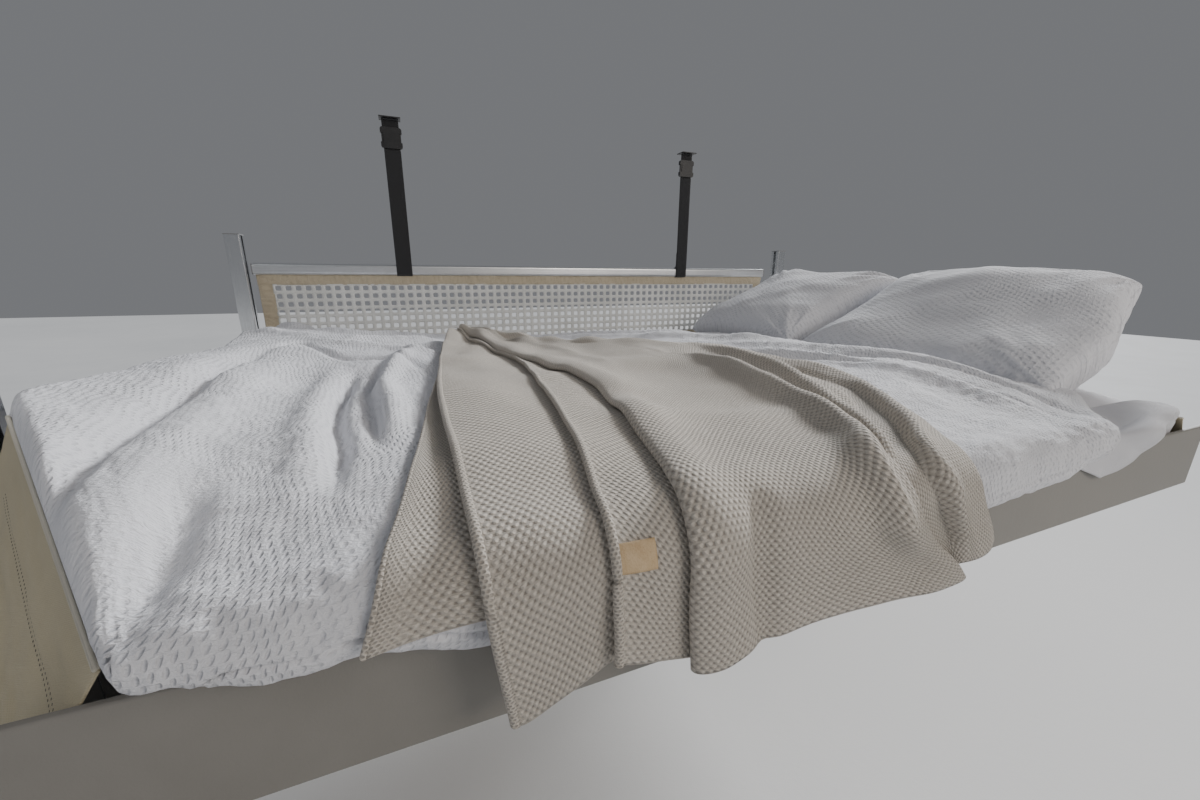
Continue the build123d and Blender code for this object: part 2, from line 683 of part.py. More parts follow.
# Throw: gathered at the far end, with folds that fan out to the near edge, where it hangs in points
throw_front = duvet_face - cloth_clearance
throw_face = throw_front - throw_thickness
throw_low = duvet_bottom + cloth_clearance
throw_sections = [1, 0.898, 0.646, 0.411, 0.058, 0.017, 0]
throw_folds = [
    # (height over the duvet, share of the throw's width at each section, from the gathered end)
    (12, (0.195, 0.180, 0.128, 0.090, 0.027, 0.006, 0.000)),
    (18, (0.205, 0.200, 0.160, 0.130, 0.125, 0.125, 0.126)),
    (30, (0.222, 0.273, 0.330, 0.393, 0.331, 0.330, 0.329)),
    (13, (0.242, 0.352, 0.504, 0.530, 0.462, 0.460, 0.470)),
    (26, (0.265, 0.448, 0.684, 0.735, 0.639, 0.650, 0.670)),
    (12, (0.318, 0.594, 0.814, 0.866, 0.718, 0.730, 0.740)),
    (20, (0.560, 0.700, 0.944, 1.000, 0.825, 0.820, 0.820)),
]
throw_hem = [
    # (share of the throw's width, below the mattress's top)
    (0, 13), (0.126, 115), (0.23, 80), (0.33, 119), (0.47, 119), (0.783, 129), (0.878, 97),
]
bend_y = duvet_face + duvet_hem_depth + apron_edge
bend_z = mattress_top - apron_edge


def throw_top(x, y, lift):
    """Height of the throw's top: over the duvet, and round the bed's near edge in an arc."""
    if y > bend_y:
        return duvet_top(x, y) + lift
    reach = duvet_hem_depth + apron_edge + lift
    return max(bend_z + max(reach ** 2 - (bend_y - y) ** 2, 0) ** 0.5, duvet_bottom + apron_edge)


with BuildPart() as throw:
    for i, share in enumerate(throw_sections):
        y = throw_face + share * throw_length
        ridge_x = [throw_left + places[i] * throw_width for lift, places in throw_folds]
        with BuildSketch(Plane.XZ.offset(-y)):
            tops = [(x, throw_top(x, y, lift)) for x, (lift, places) in zip(ridge_x, throw_folds)]
            Polygon((ridge_x[0], throw_low), *tops, (ridge_x[-1], throw_low), align=None)
    loft(ruled=True)
    with BuildSketch(Plane.XZ.offset(-throw_front)):
        hem = [(throw_left + share * throw_width, mattress_top - z) for share, z in throw_hem]
        Polygon((throw_left, throw_low), *hem, (ridge_x[-1], throw_low), align=None)
    extrude(amount=throw_thickness)
    add(duvet.part.moved(Location((0, -cloth_clearance, cloth_clearance))), mode=Mode.SUBTRACT)
pieces["throw"] = throw

# Pillows: leaning up to the head wall, with round corners
pillow_profile = [
    # (from the pillow's front, above the duvet's underside)
    (5, 0), (0, 45), (45, 90), (pillow_length - 60, pillow_height), (pillow_length - 15, pillow_height - 4),
    (pillow_length, 215), (pillow_length - 4, 0),
]
pillows = {
    # name: (far edge, near edge), both from the mattress's far edge
    "pillow_far": (90, 630),
    "pillow_near": (655, 1305),
}
for name, (far, near) in pillows.items():
    middle = mattress_far_y - (far + near) / 2
    with BuildPart() as pillow:
        with BuildSketch(Plane.XZ.offset(-mattress_far_y + far)):
            Polygon(*[(pillow_front + x, duvet_bottom + z) for x, z in pillow_profile], align=None)
        extrude(amount=near - far)
        fillet(pillow.edges().filter_by(Axis.Y).sort_by(Axis.Z)[2:], pillow_edge)
        with BuildSketch(Plane.YZ.offset(pillow_front)):
            with Locations((middle, duvet_bottom)):
                RectangleRounded(near - far, 2 * pillow_height, pillow_corner)
        extrude(amount=pillow_length, mode=Mode.INTERSECT)
    pieces[name] = pillow

for name, piece in pieces.items():
    solid = Compound(children=piece) if isinstance(piece, list) else piece.part
    solid.label = name
    export_step(solid, f"parts/{name}.step")
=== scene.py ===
import json
import math

import bpy
import numpy as np
from mathutils import Matrix, Vector

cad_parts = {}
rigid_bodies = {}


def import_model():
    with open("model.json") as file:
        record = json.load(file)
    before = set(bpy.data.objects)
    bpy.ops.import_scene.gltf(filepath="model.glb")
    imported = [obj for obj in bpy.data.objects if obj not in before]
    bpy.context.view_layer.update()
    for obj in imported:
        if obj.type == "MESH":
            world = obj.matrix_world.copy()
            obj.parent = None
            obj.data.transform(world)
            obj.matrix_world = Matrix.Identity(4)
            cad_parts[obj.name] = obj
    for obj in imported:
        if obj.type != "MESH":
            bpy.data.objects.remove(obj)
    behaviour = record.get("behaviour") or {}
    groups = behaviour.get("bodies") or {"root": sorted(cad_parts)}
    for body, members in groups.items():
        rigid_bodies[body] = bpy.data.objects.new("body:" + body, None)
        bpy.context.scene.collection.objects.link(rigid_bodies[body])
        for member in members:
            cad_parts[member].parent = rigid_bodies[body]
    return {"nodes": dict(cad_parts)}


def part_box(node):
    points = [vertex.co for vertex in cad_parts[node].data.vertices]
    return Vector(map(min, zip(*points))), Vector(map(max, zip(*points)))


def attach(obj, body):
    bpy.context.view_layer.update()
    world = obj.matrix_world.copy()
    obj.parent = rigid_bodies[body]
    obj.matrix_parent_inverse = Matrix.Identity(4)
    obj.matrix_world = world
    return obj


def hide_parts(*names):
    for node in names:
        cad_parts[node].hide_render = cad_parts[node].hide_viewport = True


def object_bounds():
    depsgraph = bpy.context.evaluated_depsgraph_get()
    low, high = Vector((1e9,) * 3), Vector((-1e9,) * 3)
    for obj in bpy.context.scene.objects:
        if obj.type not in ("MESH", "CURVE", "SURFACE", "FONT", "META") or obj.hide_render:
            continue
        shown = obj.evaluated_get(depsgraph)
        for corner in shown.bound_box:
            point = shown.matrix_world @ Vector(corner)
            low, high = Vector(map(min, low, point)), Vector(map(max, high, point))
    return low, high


for leftover in list(bpy.data.objects):
    bpy.data.objects.remove(leftover)

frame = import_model()
cadLow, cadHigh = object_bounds()
nodes = frame["nodes"]
print("frame loaded with", len(nodes), "nodes")


# ramp that starts and ends flat: 3t^2 - 2t^3 between a and b
def ease(x, a, b):
    t = np.clip((x - a) / (b - a), 0.0, 1.0)
    return t * t * (3 - 2 * t)


# bell: exp(-(d/width)^2)
def bell(d, width):
    return np.exp(-(d / width) ** 2)


# random heights on a square lattice of this cell, blended between its corners by 6t^5 - 15t^4 + 10t^3
def lumps(x, y, height, cell, seed):
    size = 128  # cells until the pattern repeats
    table = np.random.default_rng(seed).uniform(-1, 1, (size, size))
    gx, gy = x / cell, y / cell
    ix, iy = np.floor(gx).astype(int), np.floor(gy).astype(int)
    tx, ty = (t ** 3 * (t * (t * 6 - 15) + 10) for t in (gx - ix, gy - iy))
    ix, iy, jx, jy = ix % size, iy % size, (ix + 1) % size, (iy + 1) % size
    low = table[iy, ix] * (1 - tx) + table[iy, jx] * tx
    high = table[jy, ix] * (1 - tx) + table[jy, jx] * tx
    return height * (low * (1 - ty) + high * ty)


# cubic weights of four neighbours at a fraction f between the middle two, for a curve that meets its points
def curveWeights(f):
    return (0.5 * (-f + 2 * f ** 2 - f ** 3), 0.5 * (2 - 5 * f ** 2 + 3 * f ** 3),
            0.5 * (f + 4 * f ** 2 - 3 * f ** 3), 0.5 * (f ** 3 - f ** 2))


# smooth curve through given points: the weighted sum of four neighbours, sampled evenly over the
# points' count
def throughPoints(points, samples):
    p = np.asarray(points, float)
    p = np.vstack([2 * p[0] - p[1], p, 2 * p[-1] - p[-2]])
    t = np.linspace(0, len(points) - 1, samples)
    k = np.minimum(t.astype(int), len(points) - 2)
    return sum(weight * p[k + i] for i, weight in enumerate(curveWeights((t - k)[:, None])))


# straight-line value at x between the listed (place, value) pairs
def listed(x, entries):
    return np.interp(x, *zip(*entries))


# metres run so far along a line, or along the first axis of a grid: the sum of its steps
def runAlong(points):
    return np.cumsum(np.linalg.norm(np.diff(points, axis=0, prepend=points[:1]), axis=-1), axis=0)


# two numbers for each point of a grid
def pairs(a, b):
    return np.stack(np.broadcast_arrays(a, b), -1)


# round section: cos a times one direction plus sin a times the other, at each angle
def roundSection(angle, one, other):
    return np.cos(angle)[:, None] * one + np.sin(angle)[:, None] * other


# quads of a grid of points, with its last row or column joined to the first on request
def gridQuads(rows, cols, joinCols=False, joinRows=False):
    i = np.arange(rows if joinRows else rows - 1)[:, None]
    j = np.arange(cols if joinCols else cols - 1)[None, :]
    up, right = (i + 1) % rows, (j + 1) % cols
    quads = np.stack([i * cols + j, i * cols + right, up * cols + right, up * cols + j], -1)
    return quads.reshape(-1, 4)


# mesh object from points and quads; caps, a UV map in metres and a named value for each point where given
def makePiece(name, points, quads, uv=None, caps=(), flip=False, **values):
    points = np.asarray(points, float).reshape(-1, 3)
    if flip:
        quads = quads[:, ::-1]
    faces = quads.tolist() + [list(map(int, c)) for c in caps]
    mesh = bpy.data.meshes.new(name)
    mesh.from_pydata(points.tolist(), [], faces)
    if uv is not None:
        setMetres(mesh, uv)
    for valueName, numbers in values.items():
        layer = mesh.attributes.new(valueName, "FLOAT", "POINT")
        layer.data.foreach_set("value", np.asarray(numbers, np.float32).ravel())
    mesh.shade_smooth()
    mesh.update()
    piece = bpy.data.objects.new(name, mesh)
    bpy.context.scene.collection.objects.link(piece)
    return piece


# UV map in metres of cloth from a pair of numbers for each point
def setMetres(mesh, uv):
    layer = mesh.uv_layers.new(name="clothMetres")
    corner = np.zeros(len(mesh.loops), np.int32)
    mesh.loops.foreach_get("vertex_index", corner)
    layer.data.foreach_set("uv", np.asarray(uv, np.float32).reshape(-1, 2)[corner].ravel())


# a piece gets its finish, its body and the solids that it stands for
def dress(piece, finishName, body, slotName, *stoodFor):
    piece.data.materials.clear()
    piece.data.materials.append(finishes[finishName])
    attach(piece, body)
    if stoodFor:
        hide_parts(*stoodFor)
    return piece


# shell of this thickness, half of it on each side of the surface
def thicken(piece, thickness):
    shell = piece.modifiers.new("thickness", "SOLIDIFY")
    shell.thickness = thickness
    shell.offset = 0.0
    return piece


# drawn fold: bell over the distance to a smooth line, wider on the side it leans to and faded at both ends
def foldLift(x, s, fold):
    height, width, lean, fadeRun, points = fold
    samples, pastEnd = 26, 0.02
    line = throughPoints(points, samples)
    best = np.full(x.shape, 1e9)
    side = np.zeros_like(x)
    along = np.zeros_like(x)
    for k in range(len(line) - 1):
        a, b = line[k], line[k + 1]
        d = b - a
        t = np.clip(((x - a[0]) * d[0] + (s - a[1]) * d[1]) / (d @ d), 0, 1)
        ex, es = x - a[0] - t * d[0], s - a[1] - t * d[1]
        gap = np.hypot(ex, es)
        near = gap < best
        best = np.where(near, gap, best)
        side = np.where(near, np.sign(d[0] * es - d[1] * ex), side)
        along = np.where(near, (k + t) / (len(line) - 1), along)
    width = width * np.where(side > 0, 1 + lean, 1 - lean)
    fade = ease(along, -pastEnd, fadeRun) * (1 - ease(along, 1 - fadeRun, 1 + pastEnd))
    return height * bell(best, width) * fade


# camera: place in metres, lens and sensor in mm, angles in degrees
view = {
    "place": (0.48638, -1.79146, 0.19270), "lens": 13.908, "sensor": 36, "nearest": 0.02, "farthest": 60,
    "yaw": 22.316, "pitch": 15.181, "roll": 0.390,
}
yaw, pitch, roll = (math.radians(view[k]) for k in ("yaw", "pitch", "roll"))
ahead = Vector((math.sin(yaw) * math.cos(pitch), math.cos(yaw) * math.cos(pitch), -math.sin(pitch)))
level = Vector((math.cos(yaw), -math.sin(yaw), 0))
rise = level.cross(ahead)
sideways = level * math.cos(roll) + rise * math.sin(roll)
upwards = rise * math.cos(roll) - level * math.sin(roll)
lens = bpy.data.cameras.new("photoView")
lens.sensor_width = view["sensor"]
lens.lens = view["lens"]
lens.clip_start, lens.clip_end = view["nearest"], view["farthest"]
camera = bpy.data.objects.new("photoView", lens)
turn = Matrix((sideways, upwards, -ahead)).transposed().to_4x4()
camera.matrix_world = Matrix.Translation(view["place"]) @ turn
bpy.context.scene.collection.objects.link(camera)
bpy.context.scene.camera = camera

# floor: a square grid, this far under the solids
floorStyle = {"drop": 0.62, "side": 28, "points": 8}
floorLine = np.linspace(-floorStyle["side"] / 2, floorStyle["side"] / 2, floorStyle["points"])
floorPoints = [(x, y, cadLow.z - floorStyle["drop"]) for y in floorLine for x in floorLine]
floor = makePiece("studioFloor", floorPoints, gridQuads(floorStyle["points"], floorStyle["points"]))

# light: a far soft key from behind the head end, a warm box in front and a weak cool one at the foot end
lightStyle = {
    "air": {"tint": (0.72, 0.74, 0.78), "strength": 0.25},
    "key": {"aim": (-2.4, -1.3, -1.35), "energy": 3.9, "angle": 0.22, "color": (0.96, 0.98, 1.0)},
    "boxes": {
        "warmBox": {"place": (2.7, -3.8, 1.6), "target": (0.9, -1.2, -0.1), "size": 1.8, "energy": 58,
                    "color": (1.0, 0.93, 0.85)},
        "fillBox": {"place": (-1.8, -2.4, 2.4), "target": (0.7, -0.8, 0.0), "size": 2.4, "energy": 14,
                    "color": (0.92, 0.95, 1.0)},
    },
}
world = bpy.data.worlds.new("studioAir")
world.use_nodes = True
background = world.node_tree.nodes["Background"].inputs
background["Color"].default_value = (*lightStyle["air"]["tint"], 1)
background["Strength"].default_value = lightStyle["air"]["strength"]
bpy.context.scene.world = world


# lamp of this kind at a place, turned to shine along aim, with its own settings
def makeLamp(name, kind, place, aim, **settings):
    lamp = bpy.data.lights.new(name, kind)
    for setting, value in settings.items():
        setattr(lamp, setting, value)
    holder = bpy.data.objects.new(name, lamp)
    holder.location = place
    holder.rotation_mode = "QUATERNION"
    holder.rotation_quaternion = Vector(aim).to_track_quat("-Z", "Y")
    bpy.context.scene.collection.objects.link(holder)


makeLamp("keyLamp", "SUN", (0, 0, 0), **lightStyle["key"])
for name, box in lightStyle["boxes"].items():
    makeLamp(name, "AREA", box["place"], Vector(box["target"]) - Vector(box["place"]), shape="RECTANGLE",
             size=box["size"], size_y=box["size"], energy=box["energy"], color=box["color"])
print("camera and light set")


# shader helpers: a value or a link goes into a socket; the others place one node each
def plug(tree, value, socket):
    if isinstance(value, bpy.types.NodeSocket):
        tree.links.new(value, socket)
    else:
        socket.default_value = value


def maths(tree, operation, *values):
    node = tree.nodes.new("ShaderNodeMath")
    node.operation = operation
    for socket, value in zip(node.inputs, values):
        plug(tree, value, socket)
    return node.outputs[0]


def plus(tree, a, b):
    return maths(tree, "ADD", a, b)


def minus(tree, a, b):
    return maths(tree, "SUBTRACT", a, b)


def times(tree, a, b):
    return maths(tree, "MULTIPLY", a, b)


def power(tree, a, b):
    return maths(tree, "POWER", a, b)


def noise(tree, vector, scale, detail=3.0, rough=0.55):
    node = tree.nodes.new("ShaderNodeTexNoise")
    tree.links.new(vector, node.inputs["Vector"])
    plug(tree, scale, node.inputs["Scale"])
    node.inputs["Detail"].default_value = detail
    node.inputs["Roughness"].default_value = rough
    return node.outputs["Fac"]


def stretched(tree, vector, factors):
    node = tree.nodes.new("ShaderNodeVectorMath")
    node.operation = "MULTIPLY"
    tree.links.new(vector, node.inputs[0])
    plug(tree, factors, node.inputs[1])
    return node.outputs[0]


def parts(tree, vector):
    node = tree.nodes.new("ShaderNodeSeparateXYZ")
    tree.links.new(vector, node.inputs[0])
    return node.outputs


def remap(tree, value, fromLow, fromHigh, toLow=0.0, toHigh=1.0):
    node = tree.nodes.new("ShaderNodeMapRange")
    for socket, number in zip(node.inputs, (value, fromLow, fromHigh, toLow, toHigh)):
        plug(tree, number, socket)
    return node.outputs[0]


# a mask from 0 to 1 gives a value from low to high
def between(tree, mask, low, high):
    return remap(tree, mask, 0.0, 1.0, low, high)


def tintMix(tree, mask, dark, light):
    node = tree.nodes.new("ShaderNodeMix")
    node.data_type = "RGBA"
    plug(tree, mask, node.inputs[0])
    for socket, colour in zip((node.inputs[6], node.inputs[7]), (dark, light)):
        plug(tree, colour if isinstance(colour, bpy.types.NodeSocket) else (*colour, 1), socket)
    return node.outputs[2]


# empty node group with a vector input, number inputs and number outputs
def newGroup(name, numbers, outputs):
    tree = bpy.data.node_groups.new(name, "ShaderNodeTree")
    tree.interface.new_socket(name="Vector", in_out="INPUT", socket_type="NodeSocketVector")
    for socketName, value in numbers.items():
        socket = tree.interface.new_socket(name=socketName, in_out="INPUT", socket_type="NodeSocketFloat")
        socket.default_value = value
    for socketName in outputs:
        tree.interface.new_socket(name=socketName, in_out="OUTPUT", socket_type="NodeSocketFloat")
    return tree, tree.nodes.new("NodeGroupInput").outputs, tree.nodes.new("NodeGroupOutput").inputs


# patchy: a share of slow cloudy noise plus a share of finer noise, for handling marks and uneven colour
def makePatchy(finer=9.0, broadShare=0.7, fineShare=0.3, dark=0.34, light=0.66):
    tree, given, out = newGroup("patchy", {"Scale": 4.0}, ["Mask"])
    broad = noise(tree, given["Vector"], given["Scale"], 4.0)
    fine = noise(tree, given["Vector"], times(tree, given["Scale"], finer), 2.0)
    both = plus(tree, times(tree, broad, broadShare), times(tree, fine, fineShare))
    plug(tree, remap(tree, both, dark, light), out["Mask"])
    return tree


# plain weave: |sin| of warp or of weft, taken in turn over a chequer of the thread pitch, plus stray fibre
def makeWeave(threadShare=0.8, fibreShare=0.4, fibreScale=0.6):
    tree, given, out = newGroup("plainWeave", {"Pitch": 0.001}, ["Height"])
    scale = maths(tree, "DIVIDE", 1.0, given["Pitch"])
    across, along, _ = parts(tree, given["Vector"])
    u, v = times(tree, across, scale), times(tree, along, scale)
    warp, weft = (maths(tree, "ABSOLUTE", maths(tree, "SINE", times(tree, t, math.pi))) for t in (u, v))
    cells = plus(tree, maths(tree, "FLOOR", u), maths(tree, "FLOOR", v))
    chequer = maths(tree, "FLOORED_MODULO", cells, 2.0)
    thread = plus(tree, times(tree, warp, chequer), times(tree, weft, minus(tree, 1.0, chequer)))
    fibre = noise(tree, given["Vector"], times(tree, scale, fibreScale), 2.0)
    plug(tree, plus(tree, times(tree, thread, threadShare), times(tree, fibre, fibreShare)), out["Height"])
    return tree


# local place in staggered cells: every second row is moved by half a cell; the place runs from -0.5 to 0.5
def cellPlace(tree, across, along, wide, long):
    v = maths(tree, "DIVIDE", along, long)
    row = maths(tree, "FLOOR", v)
    u = plus(tree, maths(tree, "DIVIDE", across, wide), times(tree, row, 0.5))
    return tuple(minus(tree, maths(tree, "FRACT", t), 0.5) for t in (u, v))


# round bump in a cell: (1 - (a fx)^2 - (b fy)^2)^p, never under 0
def cellBump(tree, fx, fy, a, b, p=1.0):
    x2, y2 = (power(tree, maths(tree, "ABSOLUTE", times(tree, f, k)), 2.0) for f, k in ((fx, a), (fy, b)))
    bump = maths(tree, "MAXIMUM", minus(tree, minus(tree, 1.0, x2), y2), 0.0)
    return bump if p == 1.0 else power(tree, bump, p)


# slow sideways sway of a pattern: noise about its middle value, times a size
def swayOf(tree, vector, scale, size):
    return times(tree, minus(tree, noise(tree, vector, scale, 1.0), 0.5), size)


# seersucker: crinkles |noise - 1/2| minus staggered long dimples, whose rows sway and which fade in patches
def makeSeersucker(swayScale=11.0, swaySize=0.05, dimpleWide=4.0, dimpleLong=2.1, patchScale=6.0,
                   faintest=0.25, creaseScale=85.0, creaseNarrow=2.1, creaseHeight=4.0):
    numbers = {"Wide": 0.013, "Long": 0.0115, "Slant": 0.35, "Crinkle": 1.0, "Dimple": 1.0}
    tree, given, out = newGroup("seersucker", numbers, ["Height"])
    where = given["Vector"]
    across, along, _ = parts(tree, where)
    sway = swayOf(tree, where, swayScale, swaySize)
    across = plus(tree, across, plus(tree, times(tree, along, given["Slant"]), sway))
    along = plus(tree, along, times(tree, sway, 0.5))
    fx, fy = cellPlace(tree, across, along, given["Wide"], given["Long"])
    dimple = cellBump(tree, fx, fy, dimpleWide, dimpleLong)
    patches = remap(tree, noise(tree, where, patchScale, 2.0), 0.35, 0.62, faintest, 1.0)
    crease = noise(tree, stretched(tree, where, (1.0, creaseNarrow, 1.0)), creaseScale, 3.0, 0.6)
    crease = times(tree, maths(tree, "ABSOLUTE", minus(tree, crease, 0.5)), creaseHeight)
    dimple = times(tree, times(tree, dimple, patches), given["Dimple"])
    plug(tree, minus(tree, times(tree, crease, given["Crinkle"]), dimple), out["Height"])
    return tree


# moss stitch: short pits in staggered rows, a plump grain between each two of them, and yarn fibre over both;
# where calm or rib is high, small even pits take their place
def makeMossStitch(swayScale=12.0, swaySize=0.007, pitLean=0.22, grainDown=0.10, grainShare=0.62,
                   pitShare=0.38, fineWide=0.6, fineLong=0.66, fineTop=0.66, fineDepth=0.5, yarnScale=620.0,
                   yarnShare=0.32):
    numbers = {"Wide": 0.0078, "Long": 0.0052, "Calm": 0.0, "Rib": 0.0}
    tree, given, out = newGroup("mossStitch", numbers, ["Height", "Pit"])
    where, wide, long = given["Vector"], given["Wide"], given["Long"]
    across, along, _ = parts(tree, where)
    sway = swayOf(tree, where, swayScale, swaySize)
    across, along = plus(tree, across, sway), plus(tree, along, sway)
    fx, fy = cellPlace(tree, across, along, wide, long)
    pit = cellBump(tree, fx, plus(tree, fy, times(tree, fx, pitLean)), 1.95, 3.1, 0.8)
    grainX, grainY = cellPlace(tree, plus(tree, across, times(tree, wide, 0.5)), along, wide, long)
    grain = cellBump(tree, grainX, minus(tree, grainY, grainDown), 2.3, 2.4, 0.7)
    stitch = plus(tree, times(tree, grain, grainShare), times(tree, minus(tree, 1.0, pit), pitShare))
    fineX, fineY = cellPlace(tree, across, along, times(tree, wide, fineWide), times(tree, long, fineLong))
    fine = minus(tree, fineTop, times(tree, cellBump(tree, fineX, fineY, 2.2, 2.6, 0.75), fineDepth))
    calm = maths(tree, "MAXIMUM", given["Calm"], given["Rib"])
    mixed = plus(tree, times(tree, stitch, minus(tree, 1.0, calm)), times(tree, fine, calm))
    yarn = noise(tree, stretched(tree, where, (1.0, 2.2, 1.0)), yarnScale, 3.0, 0.65)
    plug(tree, plus(tree, mixed, times(tree, yarn, yarnShare)), out["Height"])
    plug(tree, remap(tree, mixed, 0.04, 0.58, 1.0, 0.0), out["Pit"])
    return tree


# streaks: noise of scale 1, drawn out along one axis by the stretched vector fed to it
def makeStreaks(dark=0.3, light=0.7):
    tree, given, out = newGroup("streaks", {}, ["Mask"])
    plug(tree, remap(tree, noise(tree, given["Vector"], 1.0, 3.0, 0.6), dark, light), out["Mask"])
    return tree


# grain of plastic or paint: fine noise over a share of broader noise
def makeGrain(broader=0.22, broadShare=0.8):
    tree, given, out = newGroup("surfaceGrain", {"Scale": 900.0}, ["Height"])
    fine = noise(tree, given["Vector"], given["Scale"], 2.0)
    broad = noise(tree, given["Vector"], times(tree, given["Scale"], broader), 1.0)
    plug(tree, plus(tree, fine, times(tree, broad, broadShare)), out["Height"])
    return tree


patchy, plainWeave, seersucker = makePatchy(), makeWeave(), makeSeersucker()
mossStitch, streaks, surfaceGrain = makeMossStitch(), makeStreaks(), makeGrain()


def startMaterial(name, colour, roughness, metallic=0.0, sheen=0.0):
    material = bpy.data.materials.new(name)
    material.use_nodes = True
    shader = material.node_tree.nodes["Principled BSDF"]
    shader.inputs["Base Color"].default_value = (*colour, 1)
    shader.inputs["Roughness"].default_value = roughness
    shader.inputs["Metallic"].default_value = metallic
    shader.inputs["Sheen Weight"].default_value = sheen
    return material, material.node_tree, shader


# one node group, placed with its vector and its own numbers
def place(tree, group, vector, **values):
    node = tree.nodes.new("ShaderNodeGroup")
    node.node_tree = group
    tree.links.new(vector, node.inputs["Vector"])
    for socketName, value in values.items():
        plug(tree, value, node.inputs[socketName])
    return node.outputs


def streaksOf(tree, vector, factors):
    return place(tree, streaks, stretched(tree, vector, factors))["Mask"]


def marksOf(tree, vector, scale):
    return place(tree, patchy, vector, Scale=scale)["Mask"]


def weaveOf(tree, vector, pitch):
    return place(tree, plainWeave, vector, Pitch=pitch)["Height"]


# the object's own metres, for solid things
def objectPlace(tree):
    return tree.nodes.new("ShaderNodeTexCoord").outputs["Object"]


# metres of cloth, for things that are woven or knitted
def clothPlace(tree):
    node = tree.nodes.new("ShaderNodeUVMap")
    node.uv_map = "clothMetres"
    return node.outputs["UV"]


def pointValue(tree, name):
    node = tree.nodes.new("ShaderNodeAttribute")
    node.attribute_name = name
    return node.outputs["Fac"]


# colour, roughness and relief go into the shader; depth is in metres
def giveLook(tree, shader, colour, rough, height, depth):
    tree.links.new(colour, shader.inputs["Base Color"])
    tree.links.new(rough, shader.inputs["Roughness"])
    bump = tree.nodes.new("ShaderNodeBump")
    bump.inputs["Strength"].default_value = 1.0
    bump.inputs["Distance"].default_value = depth
    tree.links.new(height, bump.inputs["Height"])
    tree.links.new(bump.outputs["Normal"], shader.inputs["Normal"])


# metal: streaks along one axis under handling marks; stretch is small along the brushing
def metalFinish(name, dark, light, smooth, dull, stretch, depth, patchScale=5.0):
    material, tree, shader = startMaterial(name, light, smooth, metallic=1.0)
    where = objectPlace(tree)
    streak = streaksOf(tree, where, stretch)
    marks = marksOf(tree, where, patchScale)
    worn = plus(tree, times(tree, streak, 0.5), times(tree, marks, 0.5))
    colour = tintMix(tree, times(tree, streak, marks), light, dark)
    giveLook(tree, shader, colour, between(tree, worn, smooth, dull), streak, depth)
    return material


# paint, board or plastic: grain bump under a slow change of tint and gloss
def paintFinish(name, dark, light, smooth, dull, grainScale, depth, patchScale=3.0):
    material, tree, shader = startMaterial(name, light, dull)
    where = objectPlace(tree)
    marks = marksOf(tree, where, patchScale)
    grain = place(tree, surfaceGrain, where, Scale=grainScale)["Height"]
    colour = tintMix(tree, marks, dark, light)
    giveLook(tree, shader, colour, between(tree, marks, smooth, dull), grain, depth)
    return material


# woven cloth on the piece's own metres: threads with painted shade in their gaps, soft wear over it
def clothFinish(name, dark, light, rough, pitch, depth, sheen, patchScale=5.0, gapShade=0.35, wornShade=0.72,
                roughSwing=0.06):
    material, tree, shader = startMaterial(name, light, rough, sheen=sheen)
    where = clothPlace(tree)
    weave = weaveOf(tree, where, pitch)
    marks = marksOf(tree, where, patchScale)
    # painted shade: the tint darkens towards gapShade between the threads; the patchy marks add real wear on
    # top
    mask = times(tree, remap(tree, weave, 0.1, 0.8, gapShade, 1.0), between(tree, marks, wornShade, 1.0))
    worn = between(tree, marks, rough - roughSwing, rough + roughSwing)
    giveLook(tree, shader, tintMix(tree, mask, dark, light), worn, weave, depth)
    return material


# bedding: seersucker with fine weave over the cloth's metres, duller in its hollows and greyer there by
# painted shade
def beddingFinish(name, dark, light, depth, wide, long, slant, crinkle, dimple, pitch=0.0007, weaveShare=0.05,
                  patchScale=2.5, rough=0.82, sheen=0.12):
    material, tree, shader = startMaterial(name, light, rough, sheen=sheen)
    where = clothPlace(tree)
    height = place(tree, seersucker, where, Wide=wide, Long=long, Slant=slant, Crinkle=crinkle,
                   Dimple=dimple)["Height"]
    weave = weaveOf(tree, where, pitch)
    marks = marksOf(tree, where, patchScale)
    # painted shade: the colour goes grey where the seersucker lies low; the patchy marks add real uneven tint
    mask = times(tree, remap(tree, height, -0.9, 0.6, 0.35, 1.0), between(tree, marks, 0.86, 1.0))
    giveLook(tree, shader, tintMix(tree, mask, dark, light), between(tree, mask, 0.9, 0.76),
             plus(tree, height, times(tree, weave, weaveShare)), depth)
    return material


# pit is a painted shade colour laid into the stitch pits, and pitShare is its strength
knitStyle = {
    "start": (0.45, 0.40, 0.34), "dark": (0.52, 0.46, 0.39), "light": (0.76, 0.70, 0.615),
    "pit": (0.16, 0.132, 0.106), "worn": (0.68, 0.63, 0.56), "pitShare": 0.70, "wornShare": 0.15,
    "depth": 0.0036, "fleckScale": 260.0, "patchScale": 3.0, "rough": 0.86, "topRough": 0.82,
    "pitRough": 0.95, "sheen": 0.25, "sheenRough": 0.45,
}


# knit: flecked yarn with painted shade in the pits, finer where the piece's rib or calm value is high
def knitFinish(name):
    style = knitStyle
    material, tree, shader = startMaterial(name, style["start"], style["rough"], sheen=style["sheen"])
    shader.inputs["Sheen Roughness"].default_value = style["sheenRough"]
    where = clothPlace(tree)
    stitch = place(tree, mossStitch, where, Calm=pointValue(tree, "calm"), Rib=pointValue(tree, "rib"))
    fleck = noise(tree, where, style["fleckScale"], 3.0, 0.7)
    marks = marksOf(tree, where, style["patchScale"])
    colour = tintMix(tree, remap(tree, fleck, 0.3, 0.7), style["dark"], style["light"])
    # painted shade: the dark pit colour is mixed in where the stitch pits are
    colour = tintMix(tree, times(tree, stitch["Pit"], style["pitShare"]), colour, style["pit"])
    colour = tintMix(tree, times(tree, marks, style["wornShare"]), colour, style["worn"])
    rough = between(tree, stitch["Pit"], style["topRough"], style["pitRough"])
    giveLook(tree, shader, colour, rough, stitch["Height"], style["depth"])
    return material


